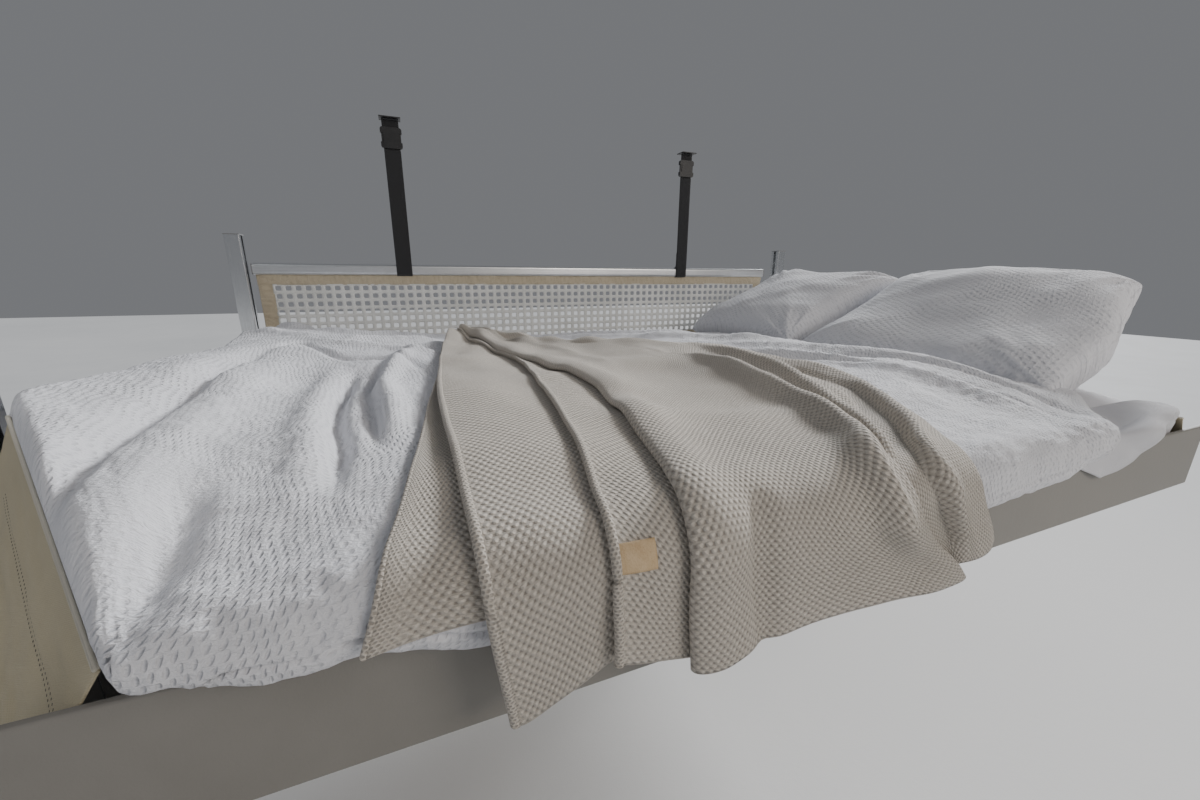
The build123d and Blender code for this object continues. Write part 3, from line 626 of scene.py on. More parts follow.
woodStyle = {
    "start": (0.60, 0.44, 0.27), "dark": (0.42, 0.27, 0.14), "light": (0.68, 0.51, 0.33), "rough": 0.42,
    "fibre": (260.0, 6.0, 260.0), "growth": (34.0, 1.4, 34.0), "fibreShare": 0.35, "growthShare": 0.65,
    "dull": 0.5, "smooth": 0.36, "depth": 0.0002,
}


# slats: fine fibre and darker growth lines drawn out along the slat
def woodFinish(name):
    style = woodStyle
    material, tree, shader = startMaterial(name, style["start"], style["rough"])
    where = objectPlace(tree)
    fibre, growth = (streaksOf(tree, where, style[kind]) for kind in ("fibre", "growth"))
    mask = plus(tree, times(tree, fibre, style["fibreShare"]), times(tree, growth, style["growthShare"]))
    colour = tintMix(tree, mask, style["dark"], style["light"])
    giveLook(tree, shader, colour, between(tree, mask, style["dull"], style["smooth"]), fibre, style["depth"])
    return material


netSkin = {
    "start": (0.78, 0.78, 0.76), "dark": (0.66, 0.66, 0.63), "light": (0.82, 0.82, 0.80), "rough": 0.45,
    "cord": (900.0, 900.0, 900.0), "patchScale": 6.0, "smooth": 0.36, "dull": 0.56, "depth": 0.0004,
}


# coated mesh: small round grains in its skin, under handling marks
def netFinish(name):
    style = netSkin
    material, tree, shader = startMaterial(name, style["start"], style["rough"])
    where = objectPlace(tree)
    cord = streaksOf(tree, where, style["cord"])
    colour = tintMix(tree, marksOf(tree, where, style["patchScale"]), style["dark"], style["light"])
    giveLook(tree, shader, colour, between(tree, cord, style["smooth"], style["dull"]), cord, style["depth"])
    return material


leatherSkin = {
    "start": (0.52, 0.37, 0.20), "dark": (0.46, 0.31, 0.16), "light": (0.60, 0.45, 0.27), "rough": 0.5,
    "pebbles": 900.0, "patchScale": 60.0, "smooth": 0.42, "dull": 0.58, "depth": 0.0004,
}


# leather tag: pebbled skin, the distance to the nearest of scattered points, with uneven colour
def leatherFinish(name):
    style = leatherSkin
    material, tree, shader = startMaterial(name, style["start"], style["rough"])
    where = clothPlace(tree)
    pebble = tree.nodes.new("ShaderNodeTexVoronoi")
    pebble.inputs["Scale"].default_value = style["pebbles"]
    tree.links.new(where, pebble.inputs["Vector"])
    marks = marksOf(tree, where, style["patchScale"])
    colour = tintMix(tree, marks, style["dark"], style["light"])
    rough = between(tree, marks, style["smooth"], style["dull"])
    giveLook(tree, shader, colour, rough, pebble.outputs["Distance"], style["depth"])
    return material


skirtStitch = {"rows": (0.0555, 0.0615), "pitch": 0.0052, "hole": 0.0011, "start": 0.10,
               "thread": (0.07, 0.055, 0.035)}


# skirt: its weave with rows of small stitched holes at these depths under its top edge, from start on
def addStitches(material):
    tree = material.node_tree
    shader = tree.nodes["Principled BSDF"]
    along, down, _ = parts(tree, clothPlace(tree))
    pitch = skirtStitch["pitch"]
    step = minus(tree, maths(tree, "FRACT", maths(tree, "DIVIDE", along, pitch)), 0.5)
    step = times(tree, step, pitch)
    holes = 0.0
    for row in skirtStitch["rows"]:
        gap = minus(tree, down, row)
        reach = maths(tree, "SQRT", plus(tree, times(tree, gap, gap), times(tree, step, step)))
        holes = maths(tree, "MAXIMUM", holes, maths(tree, "LESS_THAN", reach, skirtStitch["hole"]))
    holes = times(tree, holes, maths(tree, "GREATER_THAN", along, skirtStitch["start"]))
    cloth = shader.inputs["Base Color"].links[0].from_socket
    tree.links.new(tintMix(tree, holes, cloth, skirtStitch["thread"]), shader.inputs["Base Color"])


# dark and light are tints, smooth and dull roughnesses, depth, pitch, wide and long are metres
metals = {
    "polishedAluminium": dict(dark=(0.62, 0.63, 0.64), light=(0.86, 0.87, 0.88), smooth=0.12, dull=0.26,
                              stretch=(420.0, 420.0, 5.0), depth=0.00003),
    "satinAluminium": dict(dark=(0.50, 0.51, 0.52), light=(0.74, 0.75, 0.76), smooth=0.28, dull=0.42,
                           stretch=(5.0, 480.0, 480.0), depth=0.00005),
    "zincSteel": dict(dark=(0.38, 0.39, 0.40), light=(0.62, 0.64, 0.66), smooth=0.32, dull=0.5,
                      stretch=(60.0, 60.0, 60.0), depth=0.0001),
}
paints = {
    "blackPlastic": dict(dark=(0.012, 0.012, 0.013), light=(0.026, 0.026, 0.028), smooth=0.36, dull=0.5,
                         grainScale=1500.0, depth=0.00015),
    "greyPlastic": dict(dark=(0.17, 0.17, 0.175), light=(0.25, 0.25, 0.255), smooth=0.38, dull=0.52,
                        grainScale=1500.0, depth=0.00015),
    "frameSteel": dict(dark=(0.075, 0.078, 0.082), light=(0.12, 0.125, 0.13), smooth=0.38, dull=0.52,
                       grainScale=800.0, depth=0.0003),
    "taupePanel": dict(dark=(0.185, 0.175, 0.155), light=(0.235, 0.222, 0.20), smooth=0.42, dull=0.56,
                       grainScale=420.0, depth=0.0002, patchScale=1.5),
    "studioPale": dict(dark=(0.72, 0.72, 0.72), light=(0.78, 0.775, 0.77), smooth=0.7, dull=0.8,
                       grainScale=300.0, depth=0.0002, patchScale=0.4),
}
cloths = {
    "beigeFabric": dict(dark=(0.40, 0.33, 0.22), light=(0.66, 0.57, 0.42), rough=0.8, pitch=0.0011,
                        depth=0.0005, sheen=0.12),
    "skirtFabric": dict(dark=(0.36, 0.30, 0.18), light=(0.66, 0.58, 0.40), rough=0.82, pitch=0.0011,
                        depth=0.0004, sheen=0.12),
    "pipingCord": dict(dark=(0.62, 0.57, 0.45), light=(0.86, 0.81, 0.69), rough=0.7, pitch=0.0008,
                       depth=0.0003, sheen=0.1),
    "blackWebbing": dict(dark=(0.006, 0.006, 0.007), light=(0.026, 0.026, 0.028), rough=0.62, pitch=0.0016,
                         depth=0.0007, sheen=0.1),
    "whiteSheet": dict(dark=(0.56, 0.56, 0.58), light=(0.72, 0.72, 0.75), rough=0.8, pitch=0.0006,
                       depth=0.0002, sheen=0.1),
}
beddings = {
    "whiteCotton": dict(dark=(0.56, 0.56, 0.60), light=(0.80, 0.80, 0.83), depth=0.0019, wide=0.0084,
                        long=0.0088, slant=0.30, crinkle=0.55, dimple=0.95),
    "pillowCotton": dict(dark=(0.56, 0.56, 0.60), light=(0.80, 0.80, 0.83), depth=0.0026, wide=0.015,
                         long=0.0105, slant=0.20, crinkle=0.45, dimple=1.0),
}
finishes = {}
makers = ((metalFinish, metals), (paintFinish, paints), (clothFinish, cloths), (beddingFinish, beddings))
for maker, styles in makers:
    for name, style in styles.items():
        finishes[name] = maker(name, **style)
for name, maker in (("taupeKnit", knitFinish), ("slatWood", woodFinish), ("whiteNet", netFinish),
                    ("tanLeather", leatherFinish)):
    finishes[name] = maker(name)
addStitches(finishes["skirtFabric"])
floor.data.materials.append(finishes["studioPale"])

# the frame's materials have these names in small letters with underscores; the mattress cover is the sheet
for node in nodes.values():
    if node.data.materials:
        first, *others = node.data.materials[0].name.split(".")[0].split("_")
        name = "whiteSheet" if first == "mattress" else first + "".join(other.title() for other in others)
        node.data.materials[0] = finishes[name]
print("materials made")


# what bedding lies on: flat over the mattress, round its near edge and down its face; x stays as it is
mattressLow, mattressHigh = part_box("mattress")
skirtLow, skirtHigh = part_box("corner_skirt_left")
apronGap = 0.0003
bed = {
    "top": mattressHigh.z, "farY": mattressHigh.y, "faceY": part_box("front_apron")[0].y - apronGap,
    "edgeRound": 0.010, "midThickness": 0.040,
}
flatRun = bed["farY"] - bed["faceY"] - bed["edgeRound"]
bendRadius = bed["edgeRound"] + bed["midThickness"]
bendRun = bendRadius * math.pi / 2


# y of the left corner's cut line at x: straight from the skirt's outer end to its front end
def cutLine(x):
    return skirtHigh.y + (x - skirtLow.x) * (skirtLow.y - skirtHigh.y) / (skirtHigh.x - skirtLow.x)


# point h above the bed at run s: y = far - flat - (r + h) sin a, z = top - r + (r + h) cos a - drop
def drape(x, s, h):
    flat = np.minimum(s, flatRun)
    angle = np.clip((s - flatRun) / bendRadius, 0, math.pi / 2)
    drop = np.maximum(s - flatRun - bendRun, 0)
    reach = bed["edgeRound"] + h
    y = bed["farY"] - flat - reach * np.sin(angle)
    z = bed["top"] - bed["edgeRound"] + reach * np.cos(angle) - drop
    return np.stack([x + np.zeros_like(s), y, z], -1)


duvetStyle = {
    "left": 0.0485, "start": 0.016, "columns": 300, "rows": 288, "underEvery": 12, "hang": 0.034,
    "cutRim": 0.036, "cutGap": 0.004, "pastBend": 0.03, "waveFrom": (0.29, 0.34),
    # rows crowd towards the hem: (share of the rows, share of the run)
    "crowd": [(0, 0), (0.58, 0.735), (0.83, 0.93), (1, 1)],
    # (run, x of the right edge): it widens into a tongue past the near pillow
    "right": [(0.0, 1.584), (1.235, 1.584), (1.285, 1.64), (1.325, 1.694), (1.345, 1.696), (1.4, 1.615),
              (1.44, 1.562), (1.51, 1.535)],
    # height over the mattress in mm: one row for each run from the far edge, one column for each x
    "x": [0.048, 0.158, 0.3, 0.47, 0.76, 1.07, 1.35, 1.584, 1.868],
    "run": [0.016, 0.12, 0.4, 0.7, 0.98, 1.2, 1.33, 1.4],
    "height": [
        [84, 70, 46, 38, 30, 30, 30, 26, 20], [98, 90, 74, 58, 42, 40, 40, 32, 20],
        [84, 98, 84, 62, 46, 42, 52, 52, 20], [100, 104, 66, 66, 50, 46, 62, 74, 20],
        [120, 106, 64, 64, 54, 50, 64, 84, 22], [116, 98, 66, 60, 52, 50, 58, 66, 26],
        [94, 84, 60, 56, 48, 46, 46, 50, 28], [78, 70, 52, 50, 44, 42, 40, 40, 26],
    ],
    # (x, how far the hem hangs below the bend) along the near edge
    "hem": [(0.0, 0.0), (0.292, 0.0), (0.33, 0.005), (0.37, 0.02), (0.395, 0.027), (0.43, 0.02),
            (0.47, 0.031), (0.52, 0.045), (1.23, 0.046), (1.36, 0.041), (1.436, 0.03), (1.49, 0.022),
            (1.53, -0.01)],
    # lumps: (height, cell, seed)
    "swell": (0.006, 0.16, 3), "soft": (0.004, 0.09, 4), "hemWave": (0.004, 0.05, 9),
    "pucker": (0.0013, 0.013, 12), "finePucker": (0.0009, 0.008, 13), "pinch": (0.0012, 0.012, 15),
    # rim: how fast it rises from its outer side, its width, and what is different over the cut corner
    "sideSteep": 2.4, "rimWidth": 0.042, "cutRimLess": 0.018, "cutReachLess": 0.40, "cutEnds": (0.22, 0.36),
    "noHem": 0.2,
    # share of the height that stands at the very edge, and what the cut corner and the outer side add to it
    "edgeShare": 0.35, "cutEdgeMore": 0.35, "sideEdgeMore": 0.08, "sideEdge": (0.2, 0.15),
    # hem: its width, stitched groove and the low ridge inside it as (height, width); how far pinches go
    "hemWidth": 0.025, "groove": (-0.0042, 0.0026), "ridge": (0.0018, 0.004), "ridgeIn": 0.007,
    "pinchRun": 0.08, "gap": 0.005, "least": 0.004, "underGap": 0.0034,
    # drawn folds: (height, width, lean, fading share, [(x, run) along its line])
    "folds": [
        (-0.021, 0.019, 0.3, 0.25, [(0.19, 0.46), (0.178, 0.8), (0.182, 1.05), (0.192, 1.24),
            (0.212, 1.38)]),
        (0.01, 0.028, 0, 0.25, [(0.244, 0.52), (0.234, 0.92), (0.238, 1.13), (0.25, 1.33), (0.264, 1.4)]),
        (0.012, 0.022, 0, 0.25, [(0.335, 0.62), (0.335, 0.84), (0.347, 1.06), (0.368, 1.2), (0.372, 1.36)]),
        (-0.021, 0.012, 0, 0.25, [(0.375, 0.7), (0.371, 0.85), (0.378, 1.05), (0.397, 1.18),
            (0.402, 1.32)]),
        (0.02, 0.02, 0, 0.25, [(0.5, 0.46), (0.456, 0.66), (0.436, 0.86), (0.452, 1.05), (0.458, 1.22)]),
        (-0.014, 0.01, 0, 0.25, [(0.42, 0.6), (0.414, 0.82), (0.414, 0.96), (0.428, 1.09), (0.44, 1.22)]),
        (-0.014, 0.018, 0, 0.25, [(0.28, 1.24), (0.29, 1.32), (0.295, 1.4), (0.292, 1.45)]),
        (0.013, 0.018, 0.3, 0.25, [(0.14, 0.29), (0.3, 0.43), (0.46, 0.48), (0.56, 0.57)]),
        (-0.01, 0.012, 0, 0.25, [(0.18, 0.58), (0.235, 0.45), (0.336, 0.58), (0.46, 0.63), (0.52, 0.77)]),
        (0.014, 0.03, 0, 0.25, [(0.08, 0.15), (0.16, 0.24), (0.3, 0.3), (0.42, 0.24)]),
        (0.022, 0.022, 0, 0.25, [(0.1, 0.05), (0.17, 0.1), (0.22, 0.05)]),
        (0.016, 0.022, 0, 0.25, [(0.2, 0.1), (0.34, 0.16), (0.46, 0.12)]),
        (0.014, 0.016, 0, 0.25, [(0.24, 0.03), (0.28, 0.1), (0.38, 0.08)]),
        (0.01, 0.024, 0, 0.25, [(0.3, 0.06), (0.5, 0.14), (0.66, 0.1)]),
        (0.012, 0.022, 0.3, 0.25, [(0.3, 0.34), (0.42, 0.28), (0.58, 0.26)]),
        (0.008, 0.022, 0, 0.25, [(0.7, 0.1), (0.95, 0.13), (1.2, 0.1)]),
        (0.015, 0.022, 0, 0.25, [(1.05, 0.12), (1.25, 0.22), (1.5, 0.3)]),
        (0.016, 0.024, 0, 0.25, [(0.92, 0.16), (1.2, 0.3), (1.48, 0.48)]),
        (0.016, 0.024, 0.3, 0.25, [(1.15, 0.3), (1.36, 0.46), (1.54, 0.7)]),
        (0.013, 0.022, 0.3, 0.25, [(1.2, 0.55), (1.36, 0.84), (1.44, 1.12), (1.452, 1.46)]),
        (-0.012, 0.011, 0, 0.25, [(1.3, 0.8), (1.415, 1.02), (1.462, 1.22), (1.478, 1.47)]),
        (0.01, 0.026, 0, 0.25, [(1.28, 0.5), (1.46, 0.84), (1.53, 1.1), (1.545, 1.36)]),
        (-0.009, 0.01, 0, 0.25, [(1.4, 0.86), (1.5, 1.08), (1.535, 1.26), (1.528, 1.46)]),
    ],
}


# smooth surface through a table of heights: the cubic weights over its columns times those over its rows
def tableHeight(x, s, style):
    table = np.pad(np.array(style["height"], float) * 0.001, 1, mode="edge")
    gx = np.interp(x, style["x"], np.arange(len(style["x"])))
    gs = np.interp(s, style["run"], np.arange(len(style["run"])))
    kx = np.minimum(gx.astype(int), len(style["x"]) - 2)
    ks = np.minimum(gs.astype(int), len(style["run"]) - 2)
    wx, ws = curveWeights(gx - kx), curveWeights(gs - ks)
    return sum(ws[i] * wx[j] * table[ks + i, kx + j] for i in range(4) for j in range(4))


# height of the duvet over the bed at (x, s): the table, which gives way to the hang at the bend, plus
# lumps and drawn folds
def duvetHeight(x, s):
    style = duvetStyle
    bendEase, foldLess = 0.12, 0.45
    x, s = np.broadcast_arrays(x, s)
    over = ease(s, flatRun - bendEase, flatRun + bendRun)
    h = tableHeight(x, s, style) * (1 - over) + style["hang"] * over
    h = h + (1 - over) * lumps(x, s, *style["swell"])
    h = h + lumps(x + 0.4 * s, s - 0.3 * x, *style["soft"])
    for fold in style["folds"]:
        h = h + foldLift(x, s, fold) * (1 - foldLess * over)
    return h


# run at which the duvet ends for each x: on the corner's cut line, and past it an arc round the edge,
# both plus the hem's drop
def duvetEnd(x):
    centreY = bed["faceY"] + bed["edgeRound"]
    edgeY = cutLine(x) + duvetStyle["cutGap"]
    rim = bed["edgeRound"] + duvetStyle["cutRim"]
    angle = math.pi / 2 * np.clip((centreY - edgeY) / rim, 0, 1)
    onTop = bed["farY"] - edgeY
    return np.where(edgeY > centreY, onTop, flatRun + bendRadius * angle) + listed(x, duvetStyle["hem"])


# top over (x, s): gap + (h - gap)(e + (1 - e) r), plus puckers and hem; e is the share at the very edge,
# and r rises over the rim as a quarter round or, on the cut corner, as 1 - share^3; the underside lies
# just over the bed, and the two join in one closed loop
def makeDuvet():
    style = duvetStyle
    u = np.linspace(0, 1, style["columns"])[None, :]
    v = listed(np.linspace(0, 1, style["rows"]), style["crowd"])[:, None]
    right = listed(v * (flatRun + bendRun + style["pastBend"]), style["right"])
    x = style["left"] + u * (right - style["left"])
    end = duvetEnd(x) + lumps(x, x * 0, *style["hemWave"]) * ease(x, *style["waveFrom"])
    s = style["start"] + v * (end - style["start"])
    h = duvetHeight(x, s)
    cutSide = 1 - ease(x, *style["cutEnds"])
    toEdge = (end - s) * (1 - cutSide * style["cutReachLess"])
    toSide = np.minimum((x - style["left"]) * style["sideSteep"], right - x)
    rim = np.minimum(toSide, np.minimum(s - style["start"], toEdge))
    share = 1 - np.clip(rim / (style["rimWidth"] - style["cutRimLess"] * cutSide), 0, 1)
    rounded = np.sqrt(np.clip(1 - share ** 2, 0, 1)) * (1 - cutSide) + (1 - share ** 3) * cutSide
    sideEnd, sideRun = style["sideEdge"]
    edgeShare = style["edgeShare"] + style["cutEdgeMore"] * cutSide
    edgeShare = edgeShare + style["sideEdgeMore"] * ease(sideEnd - x, 0, sideRun)
    pucker = lumps(x * 0.8, s, *style["pucker"]) + lumps(x, s, *style["finePucker"])
    hemGap = (end - s) + style["noHem"] * cutSide  # the cut corner has no hem
    (grooveHeight, grooveWidth), (ridgeHeight, ridgeWidth) = style["groove"], style["ridge"]
    inside = hemGap - style["hemWidth"]
    hem = grooveHeight * bell(inside, grooveWidth) + ridgeHeight * bell(inside - style["ridgeIn"], ridgeWidth)
    pinch = lumps(x, hemGap, *style["pinch"]) * (hemGap < style["pinchRun"])
    gap = style["gap"]
    top = gap + (h - gap) * (edgeShare + (1 - edgeShare) * rounded) + pucker + hem + pinch
    upper = drape(x, s, np.maximum(top, style["least"]))
    keep = np.r_[0:style["rows"]:style["underEvery"], style["rows"] - 1]
    under = drape(x[keep], s[keep], style["underGap"] + 0 * x[keep])
    loop = np.concatenate([upper, under[::-1]])
    rows, cols = loop.shape[:2]
    caps = [np.arange(rows) * cols, (np.arange(rows) * cols + cols - 1)[::-1]]
    down = runAlong(drape(x, s, bed["midThickness"] + 0 * x))
    runs = np.concatenate([down, down[keep][::-1]])
    uv = pairs(loop[..., 0], runs)
    return makePiece("duvetCover", loop, gridQuads(rows, cols, joinRows=True), uv, caps, flip=True)


duvet = makeDuvet()
dress(duvet, "whiteCotton", "bed", "white_cotton", "duvet")
print("duvet made,", len(duvet.data.polygons), "faces")


# sheet corner: a single layer that comes out from under the duvet beside the near pillow and folds over
# the edge
flapStyle = {
    "rows": 36, "columns": 60, "cloth": 0.0012, "flat": (0.36, 0.17), "seen": 0.55,
    # (x, run, height) under the duvet, and along the free edge from the outer side to the face
    "inner": [(1.69, 1.29, 0.0022), (1.655, 1.35, 0.0022), (1.6, 1.4, 0.0022), (1.555, 1.44, 0.0022),
              (1.525, 1.48, 0.0022), (1.5, 1.52, 0.0022)],
    "outer": [(1.802, 1.392, 0.031), (1.786, 1.422, 0.028), (1.745, 1.445, 0.024), (1.69, 1.46, 0.026),
              (1.655, 1.505, 0.02), (1.615, 1.534, 0.011), (1.565, 1.545, 0.006)],
    "rise": (0.15, 0.75), "lumps": (0.003, 0.045, 71),
    # (height, middle, width): creases over its length, and the hem's ridge over its depth
    "creases": [(0.004, 0.55, 0.07), (-0.004, 0.68, 0.05)], "hem": (0.0012, 0.94, 0.02),
}


# between two given curves: place and run go straight, and the height rises by the ramp and carries
# lumps, creases and a hem
def makeFlap():
    style = flapStyle
    count = style["columns"]
    inner, outer = throughPoints(style["inner"], count), throughPoints(style["outer"], count)
    v = np.linspace(0, 1, style["rows"])[:, None]
    across = np.linspace(0, 1, count)[None, :]
    x, s = (inner[:, k] * (1 - v) + outer[:, k] * v for k in (0, 1))
    lift = ease(v, *style["rise"])
    creases = sum(height * bell(across - middle, width) for height, middle, width in style["creases"])
    h = inner[:, 2] * (1 - lift) + outer[:, 2] * lift + lift * (lumps(x, s, *style["lumps"]) + creases)
    height, middle, width = style["hem"]
    h = h + height * bell(v - middle, width)
    return makePiece("sheetCorner", drape(x, s, h), gridQuads(style["rows"], count), pairs(x, s))


flap = makeFlap()
dress(flap, "whiteSheet", "bed", "mattress_cover")
thicken(flap, flapStyle["cloth"])
print("sheet corner made")


# throw: rays fan out from the gathered end to the hem, and the cloth pleats over them
throwStyle = {
    "rows": 152, "perStep": 6, "cloth": 0.0045, "flat": (1.30, 1.50), "gap": 0.0015, "least": 0.0035,
    # (x, run) along each ray, from the gathered end to the hem
    "rays": {
        "leftHem": [(0.612, 0.3), (0.575, 0.5), (0.535, 0.8), (0.505, 1.05), (0.476, 1.3), (0.449, 1.43),
                    (0.433, 1.482)],
        "longHem": [(0.604, 0.275), (0.572, 0.48), (0.543, 0.78), (0.527, 1.05), (0.526, 1.3),
                    (0.529, 1.45), (0.545, 1.584)],
        "seam": [(0.625, 0.29), (0.662, 0.44), (0.715, 0.7), (0.695, 1.0), (0.664, 1.27), (0.64, 1.43),
                 (0.637, 1.548)],
        "roll": [(0.632, 0.3), (0.675, 0.4), (0.722, 0.68), (0.785, 1.0), (0.745, 1.3), (0.717, 1.45),
                 (0.725, 1.588)],
        "panel": [(0.65, 0.29), (0.76, 0.42), (0.88, 0.7), (0.905, 1.02), (0.86, 1.31), (0.832, 1.46),
                  (0.85, 1.588)],
        "ridge": [(0.665, 0.275), (0.83, 0.4), (1.03, 0.65), (1.08, 0.98), (1.035, 1.28), (0.99, 1.45),
                  (1.13, 1.598)],
        "valley": [(0.67, 0.262), (0.88, 0.34), (1.14, 0.62), (1.195, 0.95), (1.14, 1.24), (1.06, 1.42),
                   (1.125, 1.575)],
        "rightHem": [(0.675, 0.25), (0.93, 0.27), (1.24, 0.6), (1.32, 0.92), (1.255, 1.23), (1.15, 1.43),
                     (1.212, 1.566)],
    },
    # over the cloth's width, from each ray on: (share of the way to the next ray, sideways in mm, lift in mm)
    "weave": {
        "leftHem": [(0, 0, 3), (0.35, 0, 4), (0.8, 0, 3)],
        "longHem": [(0, 30, 3), (0, 52, 3), (0, 60, 5.5), (0, 52, 8), (0, 26, 8), (0, 4, 8), (0, -5, 9),
                    (0, -7, 12), (0, 1, 16), (0.12, 4, 15), (0.45, 4, 11), (0.75, 0, 6)],
        "seam": [(0, 4, 4), (0, 40, 3), (0, 48, 5.5), (0, 40, 8), (0, 3, 8), (0, -5, 9), (0, -6, 12),
                 (0, 1, 15), (0.4, 0, 12), (0.85, 0, 8)],
        "roll": [(0, 30, 5), (0, 44, 6), (0, 50, 10), (0, 40, 12), (0, 6, 12), (0, -8, 13), (0, -12, 19),
                 (0, -4, 26), (0.1, 8, 28), (0.3, 6, 20), (0.6, 0, 12)],
        "panel": [(0, 0, 8), (0.4, 0, 10), (0.75, 0, 16), (0.95, 0, 22)],
        "ridge": [(0, 12, 20), (0, 16, 13), (0, 6, 9), (0, -22, 8), (0, -28, 5.5), (0, -22, 3),
                  (0.3, 0, 3), (0.8, 0, 5)],
        "valley": [(0.1, 0, 14), (0.4, 0, 18), (0.75, 0, 11), (1.0, 0, 3)],
    },
    # entries of that list, counted through, that are a rolled rib, with its radius
    "ribs": {0: 0.0028, 10: 0.0052, 21: 0.0048},
    "ribWidth": 0.75, "ribLift": 0.002,
    # (entry, run at the hem) where a layer ends before its ray does
    "ends": [(0, 1.482), (1, 1.478), (5, 1.478), (6, 1.49), (7, 1.52), (8, 1.555), (9, 1.58)],
    # (entry, share of the length) from which fine knit turns into bold stitches
    "boldFrom": [(0, 0.1), (9, 0.16), (14, 0.5), (17, 0.32), (24, 0.38), (30, 0.5), (38, 0.58), (42, 0.36),
                 (49, 0.32)],
    "boldEase": (-0.02, 0.14),
    # gather: lumps as (height, cell, seed) about a mean height, and twisted folds of this height and step
    "gather": 0.022, "gatherMean": 0.7, "gatherLumps": (0.3, 0.075, 21), "gatherEnds": (0.02, 0.18),
    "twist": 0.006, "twistStep": 0.019, "twistTurn": 22, "twistEnds": (0.05, 0.42),
    "soft": (0.003, 0.07, 22), "softFrom": (0.004, 0.012), "pleatStart": 0.35, "hemRow": -30,
    "midHeight": 0.05,
    # drawn folds: (height, width, lean, fading share, [(x, run) along its line])
    "folds": [
        (0.019, 0.016, 0, 0.2, [(1.1, 0.55), (1.088, 0.94), (1.06, 1.12), (1.035, 1.26), (0.995, 1.38),
            (0.958, 1.43), (0.985, 1.49), (1.082, 1.556)]),
        (-0.018, 0.012, 0, 0.2, [(1.11, 0.7), (1.112, 1.05), (1.094, 1.19), (1.062, 1.3), (1.02, 1.38),
            (0.985, 1.425)]),
        (0.016, 0.014, 0, 0.2, [(1.23, 0.55), (1.215, 0.92), (1.159, 1.12), (1.104, 1.26), (1.054, 1.37),
            (1.018, 1.44)]),
        (-0.03, 0.015, 0, 0.12, [(1.24, 0.95), (1.2, 1.19), (1.14, 1.3), (1.075, 1.39), (1.04, 1.44),
            (1.061, 1.49), (1.11, 1.55)]),
        (0.011, 0.014, 0, 0.15, [(1.275, 0.8), (1.268, 1.1), (1.209, 1.24), (1.13, 1.36), (1.074, 1.42),
            (1.08, 1.474), (1.14, 1.56)]),
        (0.014, 0.02, 0, 0.5, [(0.64, 0.285), (0.67, 0.32), (0.73, 0.42), (0.8, 0.55)]),
        (-0.012, 0.014, 0, 0.4, [(0.7, 0.262), (0.76, 0.31), (0.86, 0.42)]),
        (0.014, 0.018, 0, 0.4, [(0.73, 0.25), (0.8, 0.3), (0.92, 0.42)]),
        (-0.008, 0.016, 0, 0.25, [(0.8, 0.3), (0.95, 0.42), (1.04, 0.6), (1.06, 0.8)]),
        (0.006, 0.02, 0, 0.25, [(0.76, 0.32), (0.84, 0.5), (0.88, 0.75), (0.88, 0.95)]),
        (-0.012, 0.016, 0, 0.2, [(0.8, 1.42), (0.79, 1.47), (0.8, 1.55), (0.81, 1.6)]),
    ],
}


# smooth net over columns of points: uniform cubic B-spline across them, with its ends held
def splineAcross(control, perStep):
    count = control.shape[1]
    first, last = 2 * control[:, :1] - control[:, 1:2], 2 * control[:, -1:] - control[:, -2:-1]
    control = np.concatenate([first, control, last], 1)
    p = np.linspace(0, count - 1, (count - 1) * perStep + 1)
    k = np.minimum(p.astype(int), count - 2)
    f = (p - k)[None, :, None]
    weights = ((1 - f) ** 3, 3 * f ** 3 - 6 * f ** 2 + 4, -3 * f ** 3 + 3 * f ** 2 + 3 * f + 1, f ** 3)
    return p, sum(weight * control[:, k + i] for i, weight in enumerate(weights)) / 6


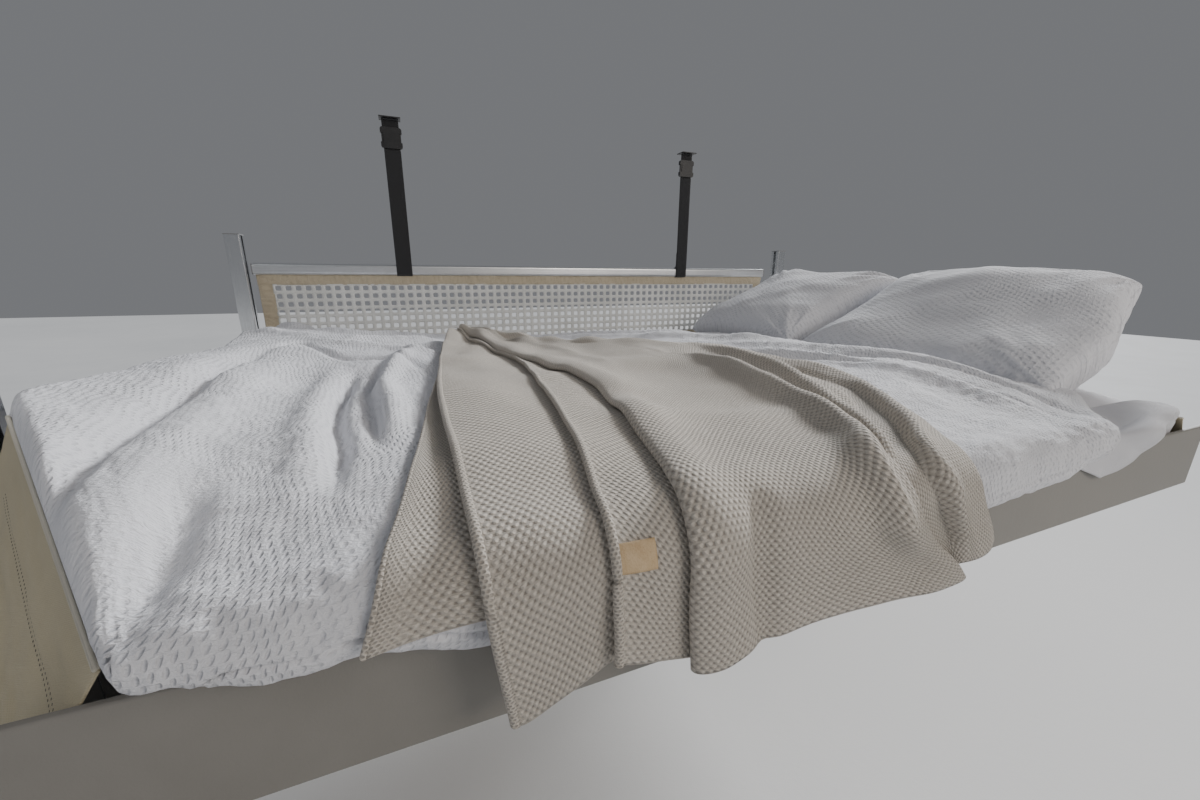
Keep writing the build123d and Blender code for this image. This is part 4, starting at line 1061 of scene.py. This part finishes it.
# each entry of the weave is a line between two rays, moved sideways and lifted; a spline goes across the
# lines; the height is the duvet's plus lift, drawn folds, gather, sin(x / step + turn t), lumps and ribs
def makeThrow():
    style = throwStyle
    rows, lastEnd = style["rows"], style["ends"][-1][0]
    rays = {name: throughPoints(points, rows) for name, points in style["rays"].items()}
    order = list(rays)
    entries = [(name, *entry) for name, group in style["weave"].items() for entry in group]
    t = np.linspace(0, 1, rows)
    pleat = style["pleatStart"] + (1 - style["pleatStart"]) * ease(t, 0.0, 0.5)
    columns = []
    for number, (name, share, across, lift) in enumerate(entries):
        line = rays[name] * (1 - share) + rays[order[order.index(name) + 1]] * share
        line = line + pairs(across * 0.001 * pleat, 0 * t)
        if number <= lastEnd:
            line[:, 1] -= (line[-1, 1] - listed(number, style["ends"])) * ease(t, 0.5, 1.0)
        columns.append(np.column_stack([line, np.full(rows, lift * 0.001)]))
    p, cloth = splineAcross(np.stack(columns, 1), style["perStep"])
    x, s, lift = cloth[..., 0], cloth[..., 1], cloth[..., 2]
    tt = t[:, None] + 0 * x
    gather = style["gather"] * (1 - ease(tt, *style["gatherEnds"]))
    gather = gather * (style["gatherMean"] + lumps(x, s, *style["gatherLumps"]))
    wave = np.sin(x / style["twistStep"] + style["twistTurn"] * tt)
    twist = style["twist"] * (1 - ease(tt, *style["twistEnds"])) * wave
    soft = lumps(x, s, *style["soft"]) * ease(lift, *style["softFrom"])
    rib = sum(bell(p - entry, style["ribWidth"]) for entry in style["ribs"])[None, :] + 0 * x
    drawn = sum(foldLift(x, s, fold) for fold in style["folds"])
    lift = np.maximum(lift + drawn, np.minimum(lift, style["least"]))
    h = duvetHeight(x, s) + style["gap"] + lift + gather + twist + soft + style["ribLift"] * rib
    points = drape(x, s, h)
    down = runAlong(drape(x, s, style["midHeight"] + 0 * x))
    uv = pairs(runAlong(points[style["hemRow"]])[None, :], down[-1:] - down)
    calm = 1 - ease(tt - listed(p, style["boldFrom"])[None, :], *style["boldEase"])
    quads = gridQuads(*points.shape[:2])
    piece = makePiece("knitThrow", points, quads, uv, flip=True, calm=calm, rib=np.clip(rib, 0, 1))
    return piece, x, s, h, points


# rolled ribs: a round tube along a column of the throw's grid, thin at the gather and full further on
def makeRibs(points):
    turns, firstRow, thin = 12, 4, 0.4
    angle = np.linspace(0, 2 * math.pi, turns, endpoint=False)
    tubes, faces, uv = [], [], []
    for entry, full in throwStyle["ribs"].items():
        line = points[firstRow:, entry * throwStyle["perStep"]]
        count = len(line)
        along = np.gradient(line, axis=0)
        along = along / np.linalg.norm(along, axis=1, keepdims=True)
        side = np.cross(along, (0, 0, 1.0)) + np.cross(along, (0, 1.0, 0)) * 0.2
        side = side / np.linalg.norm(side, axis=1, keepdims=True)
        radius = full * (thin + (1 - thin) * ease(np.linspace(0, 1, count), 0, 0.45))[:, None, None]
        ring = roundSection(angle, side[:, None], np.cross(side, along)[:, None])
        quads = gridQuads(count, turns, joinCols=True)
        faces.append(quads + sum(len(t) for t in tubes))
        tubes.append((line[:, None] + ring * radius).reshape(-1, 3))
        uv.append(pairs(angle[None, :] * full, runAlong(line)[:, None]).reshape(-1, 2))
    starts = np.cumsum([0] + [len(t) for t in tubes])
    caps = [start + np.arange(turns)[::-1] for start in starts[:-1]]
    caps += [end - turns + np.arange(turns) for end in starts[1:]]
    ones = np.ones(starts[-1])
    points, quads, uv = (np.concatenate(group) for group in (tubes, faces, uv))
    return makePiece("throwRibs", points, quads, uv, caps, flip=True, rib=ones, calm=ones)


throwPiece, throwX, throwRun, throwHeight, throwPoints = makeThrow()
dress(throwPiece, "taupeKnit", "bed", "taupe_knit", "throw")
thicken(throwPiece, throwStyle["cloth"])
ribs = makeRibs(throwPoints)
dress(ribs, "taupeKnit", "bed", "taupe_knit")
print("throw made,", len(throwPiece.data.polygons), "faces")

# leather tag: (x, run) of its corners, its gap to the throw, and how far around it the throw is read
tagStyle = {
    "corners": [(0.632, 1.443), (0.673, 1.444), (0.671, 1.466), (0.634, 1.464)],
    "gap": 0.0032, "crown": 0.0015, "leather": 0.0014, "around": 0.026, "rows": 11, "columns": 15,
}


# straight between its corners, on a plane fitted to the upper half of the throw's points around it, plus
# a crown of sin(pi u)
def makeTag():
    style = tagStyle
    corners = np.array(style["corners"])
    middle = corners.mean(0)
    near = np.hypot(throwX - middle[0], throwRun - middle[1]) < style["around"]
    x, s, h = throwX[near], throwRun[near], throwHeight[near]
    outer = h > np.median(h)
    matrix = np.column_stack([np.ones(outer.sum()), x[outer], s[outer]])
    base, slopeX, slopeS = np.linalg.lstsq(matrix, h[outer], rcond=None)[0]
    u = np.linspace(0, 1, style["columns"])[None, :, None]
    v = np.linspace(0, 1, style["rows"])[:, None, None]
    flat = (corners[0] * (1 - u) + corners[1] * u) * (1 - v) + (corners[3] * (1 - u) + corners[2] * u) * v
    lift = base + slopeX * flat[..., 0] + slopeS * flat[..., 1] + style["gap"]
    lift = lift + style["crown"] * np.sin(math.pi * u[..., 0])
    points = drape(flat[..., 0], flat[..., 1], lift)
    piece = makePiece("leatherTag", points, gridQuads(style["rows"], style["columns"]), flat)
    dress(piece, "tanLeather", "bed", "taupe_knit")
    thicken(piece, style["leather"])


makeTag()
print("tag made")


# pillows: centre and size in metres; nearPull draws the upper near corner in, and flatFront takes this
# share off the crown at the end that faces the foot
pillows = {
    "pillow_far": {"centre": (1.850, -0.378, 0.072), "size": (0.54, 0.555, 0.170), "seed": 31,
                   "nearPull": 0.0, "flatFront": 0.0},
    "pillow_near": {"centre": (1.850, -1.000, 0.074), "size": (0.54, 0.655, 0.180), "seed": 37,
                    "nearPull": 0.085, "flatFront": 0.42},
}
pillowStyle = {
    "points": 110, "tilt": 22, "fullness": 0.42, "seamWidth": 0.10, "clear": 0.0008,
    # how far the sides draw in between the corners, and how far the seam puckers, for each way
    "drawIn": (0.055, 0.045), "seamPucker": (0.012, 0.014), "puckerCell": 0.05, "puckerSeeds": (7, 8),
    # lumps: (height, cell) on the pillow's seed, and folds that run in from each corner
    "broad": (0.007, 0.19), "fine": (0.002, 0.06), "cornerFolds": (0.005, 0.16), "cornerBell": (0.35, 0.28),
    "gathers": (0.05, 0.016), "lumpScale": 0.05, "under": 1.5, "underMore": 0.9,
}


# u and v run over the square: half = T/2 ((1-u^4)(1-v^4))^fullness with lumps, and the sides draw in by
# 1-v^2 and 1-u^2; the top is half with its front flattened, the underside a larger share of half; all of it
# is tilted, and held over the bed and inside its solid's end
def makePillow(name, style):
    shape = pillowStyle
    n, seed = shape["points"], style["seed"]
    grid = np.sin(np.linspace(-1, 1, n) * math.pi / 2)
    u, v = np.broadcast_arrays(grid[None, :], grid[:, None])
    length, width, thick = style["size"]
    edgeU, edgeV = (bell(1 - np.abs(w), shape["seamWidth"]) for w in (u, v))
    sides = []
    for k, (w, other, edge, size) in enumerate(((u, v, edgeU, length), (v, u, edgeV, width))):
        ruffle = 1 + lumps(other, w * 0, 1, shape["puckerCell"], shape["puckerSeeds"][k])
        drawn = 1 - shape["drawIn"][k] * (1 - other ** 2)
        sides.append(size / 2 * w * drawn * (1 - shape["seamPucker"][k] * edge * ruffle))
    px, py = sides
    half = thick / 2 * (np.clip(1 - u ** 4, 0, 1) * np.clip(1 - v ** 4, 0, 1)) ** shape["fullness"]
    bulge = lumps(px, py, *shape["broad"], seed) + lumps(px + 0.3 * py, py, *shape["fine"], seed + 1)
    reach = np.hypot(1 - np.abs(u), 1 - np.abs(v))
    turn = np.arctan2(1 - np.abs(v), 1 - np.abs(u))
    corner = lumps(turn + np.sign(u), reach * 0.25 + np.sign(v), *shape["cornerFolds"], seed + 5)
    cornerAt, cornerWidth = shape["cornerBell"]
    bulge = bulge + corner * bell(reach - cornerAt, cornerWidth)
    gathers = edgeU * lumps(py, px * 0.2, *shape["gathers"], seed + 2)
    gathers = gathers + edgeV * lumps(px, py * 0.2, *shape["gathers"], seed + 3)
    half = half * (1 + bulge / shape["lumpScale"] + gathers)
    crown = half * (1 - style["flatFront"] * (1 - ease(u, -0.5, 0.7)))
    below = -(shape["under"] + shape["underMore"] * ease(u, 0, 1)) * half
    loop = np.concatenate([np.stack([px, py, crown], -1), np.stack([px, py, below], -1)[::-1]])
    ends = np.concatenate([v, v[::-1]])
    tilt = math.radians(shape["tilt"])
    cx, cy, cz = style["centre"]
    x = cx + loop[..., 0] * math.cos(tilt) - loop[..., 2] * math.sin(tilt)
    z = cz + loop[..., 0] * math.sin(tilt) + loop[..., 2] * math.cos(tilt)
    y = cy + loop[..., 1] + style["nearPull"] * (1 - ends) / 2 * ease(loop[..., 0], -0.05, length / 2)
    z = np.maximum(z, bed["top"] + shape["clear"])
    x = np.minimum(x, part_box(name)[1].x)
    points, uv = np.stack([x, y, z], -1), loop[..., :2]
    return makePiece(name + "Cover", points, gridQuads(2 * n, n, joinRows=True), uv)


for name, style in pillows.items():
    pillow = makePillow(name, style)
    dress(pillow, "pillowCotton", "bed", "white_cotton", name)
print("pillows made")


# mattress in a fitted sheet: a side profile carried round the plan, closed towards the middle
mattressStyle = {
    "cornerRadius": 0.03, "cornerPoints": 7, "sidePoints": 22, "shareFrom": 0.05,
    # (share of the height, how far inwards in metres; from shareFrom on, as a share of the way to the middle)
    "profile": [(0.02, 0.3), (0.0, 0.012), (0.04, 0.002), (0.12, 0.0), (0.3, 0.004), (0.5, 0.005),
                (0.7, 0.004), (0.86, 0.001), (0.94, 0.004), (0.985, 0.012), (1.0, 0.028), (1.0, 0.12),
                (1.0, 0.35)],
}


# the plan's six corners are rounded by (1-f)^2 a + 2f(1-f) corner + f^2 b, and each profile point shrinks
# that ring at its own height
def makeMattress():
    style = mattressStyle
    low, high = mattressLow, mattressHigh
    cutX, cutFar = skirtHigh.x, cutLine(low.x)
    corners = np.array([(low.x, high.y), (low.x, cutFar), (cutX, low.y), (low.x + high.x - cutX, low.y),
                        (high.x, cutFar), (high.x, high.y)])
    centre = np.array([(low.x + high.x) / 2, (low.y + high.y) / 2])

    def towards(start, end):
        return start + (end - start) / np.linalg.norm(end - start) * style["cornerRadius"]

    ring = []
    for k, here in enumerate(corners):
        after = corners[(k + 1) % len(corners)]
        a, b, c = towards(here, corners[k - 1]), towards(here, after), towards(after, here)
        bend = np.linspace(0, 1, style["cornerPoints"])[:, None]
        side = np.linspace(0, 1, style["sidePoints"])[1:-1, None]
        rounded = (1 - bend) ** 2 * a + 2 * bend * (1 - bend) * here + bend ** 2 * b
        ring += [rounded, b * (1 - side) + c * side]
    ring = np.concatenate(ring)
    out = (ring - centre) / np.linalg.norm(ring - centre, axis=1, keepdims=True)
    rows, levels = [], []
    for share, pull in style["profile"]:
        shrunk = ring - out * pull if pull < style["shareFrom"] else centre + (ring - centre) * (1 - pull)
        rows.append(np.column_stack([shrunk, np.full(len(ring), low.z + (high.z - low.z) * share)]))
        levels.append(share * (high.z - low.z) + pull)
    count = len(ring)
    uv = pairs(runAlong(ring)[None, :], np.array(levels)[:, None])
    caps = [np.arange(count)[::-1], np.arange(count) + (len(rows) - 1) * count]
    return makePiece("mattressInSheet", np.stack(rows), gridQuads(len(rows), count, joinCols=True), uv, caps)


mattress = makeMattress()
dress(mattress, "whiteSheet", "bed", "mattress_cover", "mattress")
print("mattress made")


# guard net: open is the hole's share of a tile's side, chamfer the cut of its corners
netLow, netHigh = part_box("net")
borderLow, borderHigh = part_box("net_border")
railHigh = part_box("guard_rail")[1]
netStyle = {"columns": 68, "rows": 8, "open": 0.60, "chamfer": 0.10, "thickness": 0.0010,
            "wave": (0.0015, 0.16, 41), "weld": 0.0004}


# one tile is a ring of eight quads between a square and its hole, and all tiles are that ring, moved to
# their centres
def makeNet():
    style = netStyle
    stepX = (netHigh.x - netLow.x) / style["columns"]
    stepZ = (netHigh.z - netLow.z) / style["rows"]
    hole = style["open"] / 2
    outer = np.array([(-.5, -.5), (0, -.5), (.5, -.5), (.5, 0), (.5, .5), (0, .5), (-.5, .5), (-.5, 0)])
    corner = np.all(outer != 0, axis=1)[:, None]
    inner = np.sign(outer) * np.where(corner, hole - style["chamfer"] / 3, hole)
    i, j = np.meshgrid(np.arange(style["columns"]), np.arange(style["rows"]))
    centres = np.stack([netLow.x + (i + .5) * stepX, netLow.z + (j + .5) * stepZ], -1).reshape(-1, 1, 2)
    flat = centres + np.concatenate([outer, inner])[None] * (stepX, stepZ)
    x, z = flat[..., 0], flat[..., 1]
    points = np.stack([x, (netLow.y + netHigh.y) / 2 + lumps(x, z, *style["wave"]), z], -1)
    sides = len(outer)
    ring = np.arange(sides)
    ringQuads = np.stack([ring, (ring + 1) % sides, (ring + 1) % sides + sides, ring + sides], -1)
    quads = (np.arange(len(centres))[:, None, None] * 2 * sides + ringQuads[None]).reshape(-1, 4)
    piece = makePiece("guardNet", points, quads)
    weld = piece.modifiers.new("weld", "WELD")
    weld.merge_threshold = style["weld"]
    return thicken(piece, style["thickness"])


net = makeNet()
dress(net, "whiteNet", "guard", "white_net", "net")
print("net made,", len(net.data.polygons), "faces")


# band of gathered fabric: straight between its ends and over its width, plus gather times two lumps times
# sin^0.7 over the width, so it is deepest in the middle and small at both edges
def gatheredBand(name, start, end, across, columns, rows, gather, seed):
    start, end, across = (np.array(p, float) for p in (start, end, across))
    run = np.linalg.norm(end - start)
    u = np.linspace(0, 1, columns)[None, :]
    v = np.linspace(0, 1, rows)[:, None]
    broadCell, fineCell, fineShare, slant, width = 0.019, 0.008, 0.7, 0.004, 0.02
    wave = lumps(u * run + slant * v, v * width, 1, broadCell, seed)
    wave = wave + lumps(u * run, v * width, fineShare, fineCell, seed + 1)
    out = gather * wave * np.sin(np.pi * np.clip(v * 0.9 + 0.05, 0, 1)) ** 0.7
    points = start + (end - start) * u[..., None] + across * v[..., None]
    points[..., 1] += out
    uv = pairs(u * run, v * np.linalg.norm(across))
    return makePiece(name, points, gridQuads(rows, columns), uv)


# lap is how far a band lies over the net; the top one starts under the rail, and the bottom one ends over
# its sleeve
borderStyle = {"cloth": 0.0012, "lap": 0.002, "underRail": 0.004, "overSleeve": 0.010}
clothY = (netLow.y + netHigh.y) / 2
lap = borderStyle["lap"]
topZ, bottomZ = borderHigh.z - borderStyle["underRail"], netLow.z + lap
bands = [
    gatheredBand("borderTop", (borderLow.x, clothY, topZ), (borderHigh.x, clothY, topZ),
                 (0, 0, netHigh.z - lap - topZ), 700, 9, 0.0030, 51),
    gatheredBand("borderBottom", (borderLow.x, clothY, bottomZ), (borderHigh.x, clothY, bottomZ),
                 (0, 0, borderLow.z + borderStyle["overSleeve"] - bottomZ), 500, 7, 0.0015, 53),
    gatheredBand("borderLeft", (netLow.x + lap, clothY, netHigh.z), (netLow.x + lap, clothY, netLow.z),
                 (borderLow.x - netLow.x, 0, 0), 90, 12, 0.0042, 55),
    gatheredBand("borderRight", (netHigh.x - lap, clothY, netLow.z), (netHigh.x - lap, clothY, netHigh.z),
                 (borderHigh.x - netHigh.x, 0, 0), 90, 12, 0.0042, 57),
]
for band in bands:
    dress(band, "beigeFabric", "guard", "beige_fabric")
    thicken(band, borderStyle["cloth"])
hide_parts("net_border")
print("border made")


# four corners of a skirt's outer face, read from its solid: top and bottom at its outer end, then top and
# bottom at its front end
def skirtCorners(name, outerX):
    touch, downFirst = 0.0005, 10
    mesh = nodes[name].data
    points = np.zeros(len(mesh.vertices) * 3)
    mesh.vertices.foreach_get("co", points)
    points = points.reshape(-1, 3)
    outer = points[np.abs(points[:, 0] - outerX) < touch]
    front = points[np.abs(points[:, 1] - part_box(name)[0].y) < touch]
    outerBottom = outer[np.argmax(-outer[:, 2] * downFirst - outer[:, 1])]
    frontBottom = front[np.argmax(-front[:, 2] * downFirst - np.abs(front[:, 0] - outerX))]
    return outer[np.argmax(outer[:, 2])], outerBottom, front[np.argmax(front[:, 2])], frontBottom


skirtStyle = {
    "columns": 110, "rows": 60, "cloth": 0.0014, "inset": 0.0022,
    "fine": (0.0022, 0.012, 61), "broad": (0.0026, 0.036, 62), "piping": 0.0021, "pipingPoints": 40,
    "pipingRound": 12, "pipingSunk": 0.0004, "pipingEnds": (0.004, 0.996),
}


# leaning cloth, straight between the four corners, plus wrinkles times (sin u sin v)^0.4, which is small at
# its edges; a round piping lies along its top edge
def makeSkirt(name, outerX):
    style = skirtStyle
    outerTop, outerBottom, frontTop, frontBottom = skirtCorners(name, outerX)
    run = np.linalg.norm(frontTop - outerTop)
    direction = (frontTop - outerTop) / run
    outward = np.cross(frontTop - outerTop, outerBottom - outerTop)
    outward = outward / np.linalg.norm(outward)
    if outward[1] > 0:
        outward = -outward
    u = np.linspace(0, 1, style["columns"])[None, :, None]
    v = np.linspace(0, 1, style["rows"])[:, None, None]
    topEdge = outerTop * (1 - u) + frontTop * u
    flat = topEdge * (1 - v) + (outerBottom * (1 - u) + frontBottom * u) * v
    along = (flat - outerTop) @ direction
    down = np.linalg.norm(flat - topEdge, axis=-1)
    wave = lumps(along * 0.3, down, *style["fine"]) + lumps(along * 0.4, down, *style["broad"])
    acrossU, acrossV = (np.sin(np.pi * np.clip(w[..., 0] * 0.96 + 0.02, 0, 1)) for w in (u, v))
    points = flat + outward * (wave * (acrossU * acrossV) ** 0.4 - style["inset"])[..., None]
    piece = makePiece(name + "Cloth", points, gridQuads(style["rows"], style["columns"]), pairs(along, down))
    dress(piece, "skirtFabric", "bed", "beige_fabric", name)
    thicken(piece, style["cloth"])
    count, turns, radius = style["pipingPoints"], style["pipingRound"], style["piping"]
    line = outerTop + (frontTop - outerTop) * np.linspace(*style["pipingEnds"], count)[:, None]
    angle = np.linspace(0, 2 * math.pi, turns, endpoint=False)
    ring = radius * roundSection(angle, outward, np.cross(direction, outward))
    tube = line[:, None, :] + ring[None] - outward * style["pipingSunk"]
    uv = pairs(angle[None, :] * radius, np.linspace(0, run, count)[:, None])
    caps = [np.arange(turns)[::-1], np.arange(turns) + (count - 1) * turns]
    piping = makePiece(name + "Piping", tube, gridQuads(count, turns, joinCols=True), uv, caps)
    dress(piping, "pipingCord", "bed", "beige_fabric")


makeSkirt("corner_skirt_left", skirtLow.x)
makeSkirt("corner_skirt_right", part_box("corner_skirt_right")[1].x)
print("skirts made")


# straps: thickness, inset from the solid's faces, and the bend where the webbing goes round the rail
strapStyle = {"cloth": 0.0016, "inset": 0.001, "bend": 0.0085, "overRail": 0.0014, "inBuckle": 0.004,
              "across": 9, "perPoint": 12}


# a width carried along a smooth path of given (y, z) points: down from the buckle, round the rail and
# back up
def makeStrap(name):
    style = strapStyle
    low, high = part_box(name)
    buckleLow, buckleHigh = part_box("buckles")
    front, back = low.y + style["inset"], high.y - style["inset"]
    under, over = low.z + style["inset"], railHigh.z + style["overRail"]
    turn, inner = style["bend"], style["bend"] * 0.3
    line = [(front, buckleLow.z + style["inBuckle"]), (front + 0.0004, 0.45), (front, 0.30),
            (front, over - turn), (front, under + turn), (front + inner, under + inner),
            (front + turn, under), (back - turn, under), (back - inner, under + inner),
            (back, under + turn), (back, over - turn), (back - inner, over - inner), (back - turn, over),
            (front + turn, over + 0.001), (front + 0.0045, over + 0.008), (front + 0.0030, over + 0.02),
            (front + 0.0030, over + 0.06)]
    upper = [(front, buckleHigh.z - style["inBuckle"]), (front + 0.0006, high.z - 0.012),
             (front, high.z - 0.0005)]
    for part, points in (("Tail", line), ("Top", upper)):
        path = throughPoints(points, style["perPoint"] * len(points))
        x = (low.x + high.x) / 2 + np.linspace(-0.5, 0.5, style["across"]) * (high.x - low.x)
        grid = np.stack(np.broadcast_arrays(x[None, :], path[:, :1], path[:, 1:]), -1)
        uv = pairs(x[None, :], runAlong(path)[:, None])
        piece = makePiece(name + part, grid, gridQuads(*grid.shape[:2]), uv)
        stoodFor = [name] if part == "Tail" else []
        dress(piece, "blackWebbing", "guard", "black_webbing", *stoodFor)
        thicken(piece, style["cloth"])


makeStrap("strap_left")
makeStrap("strap_right")
print("straps made")
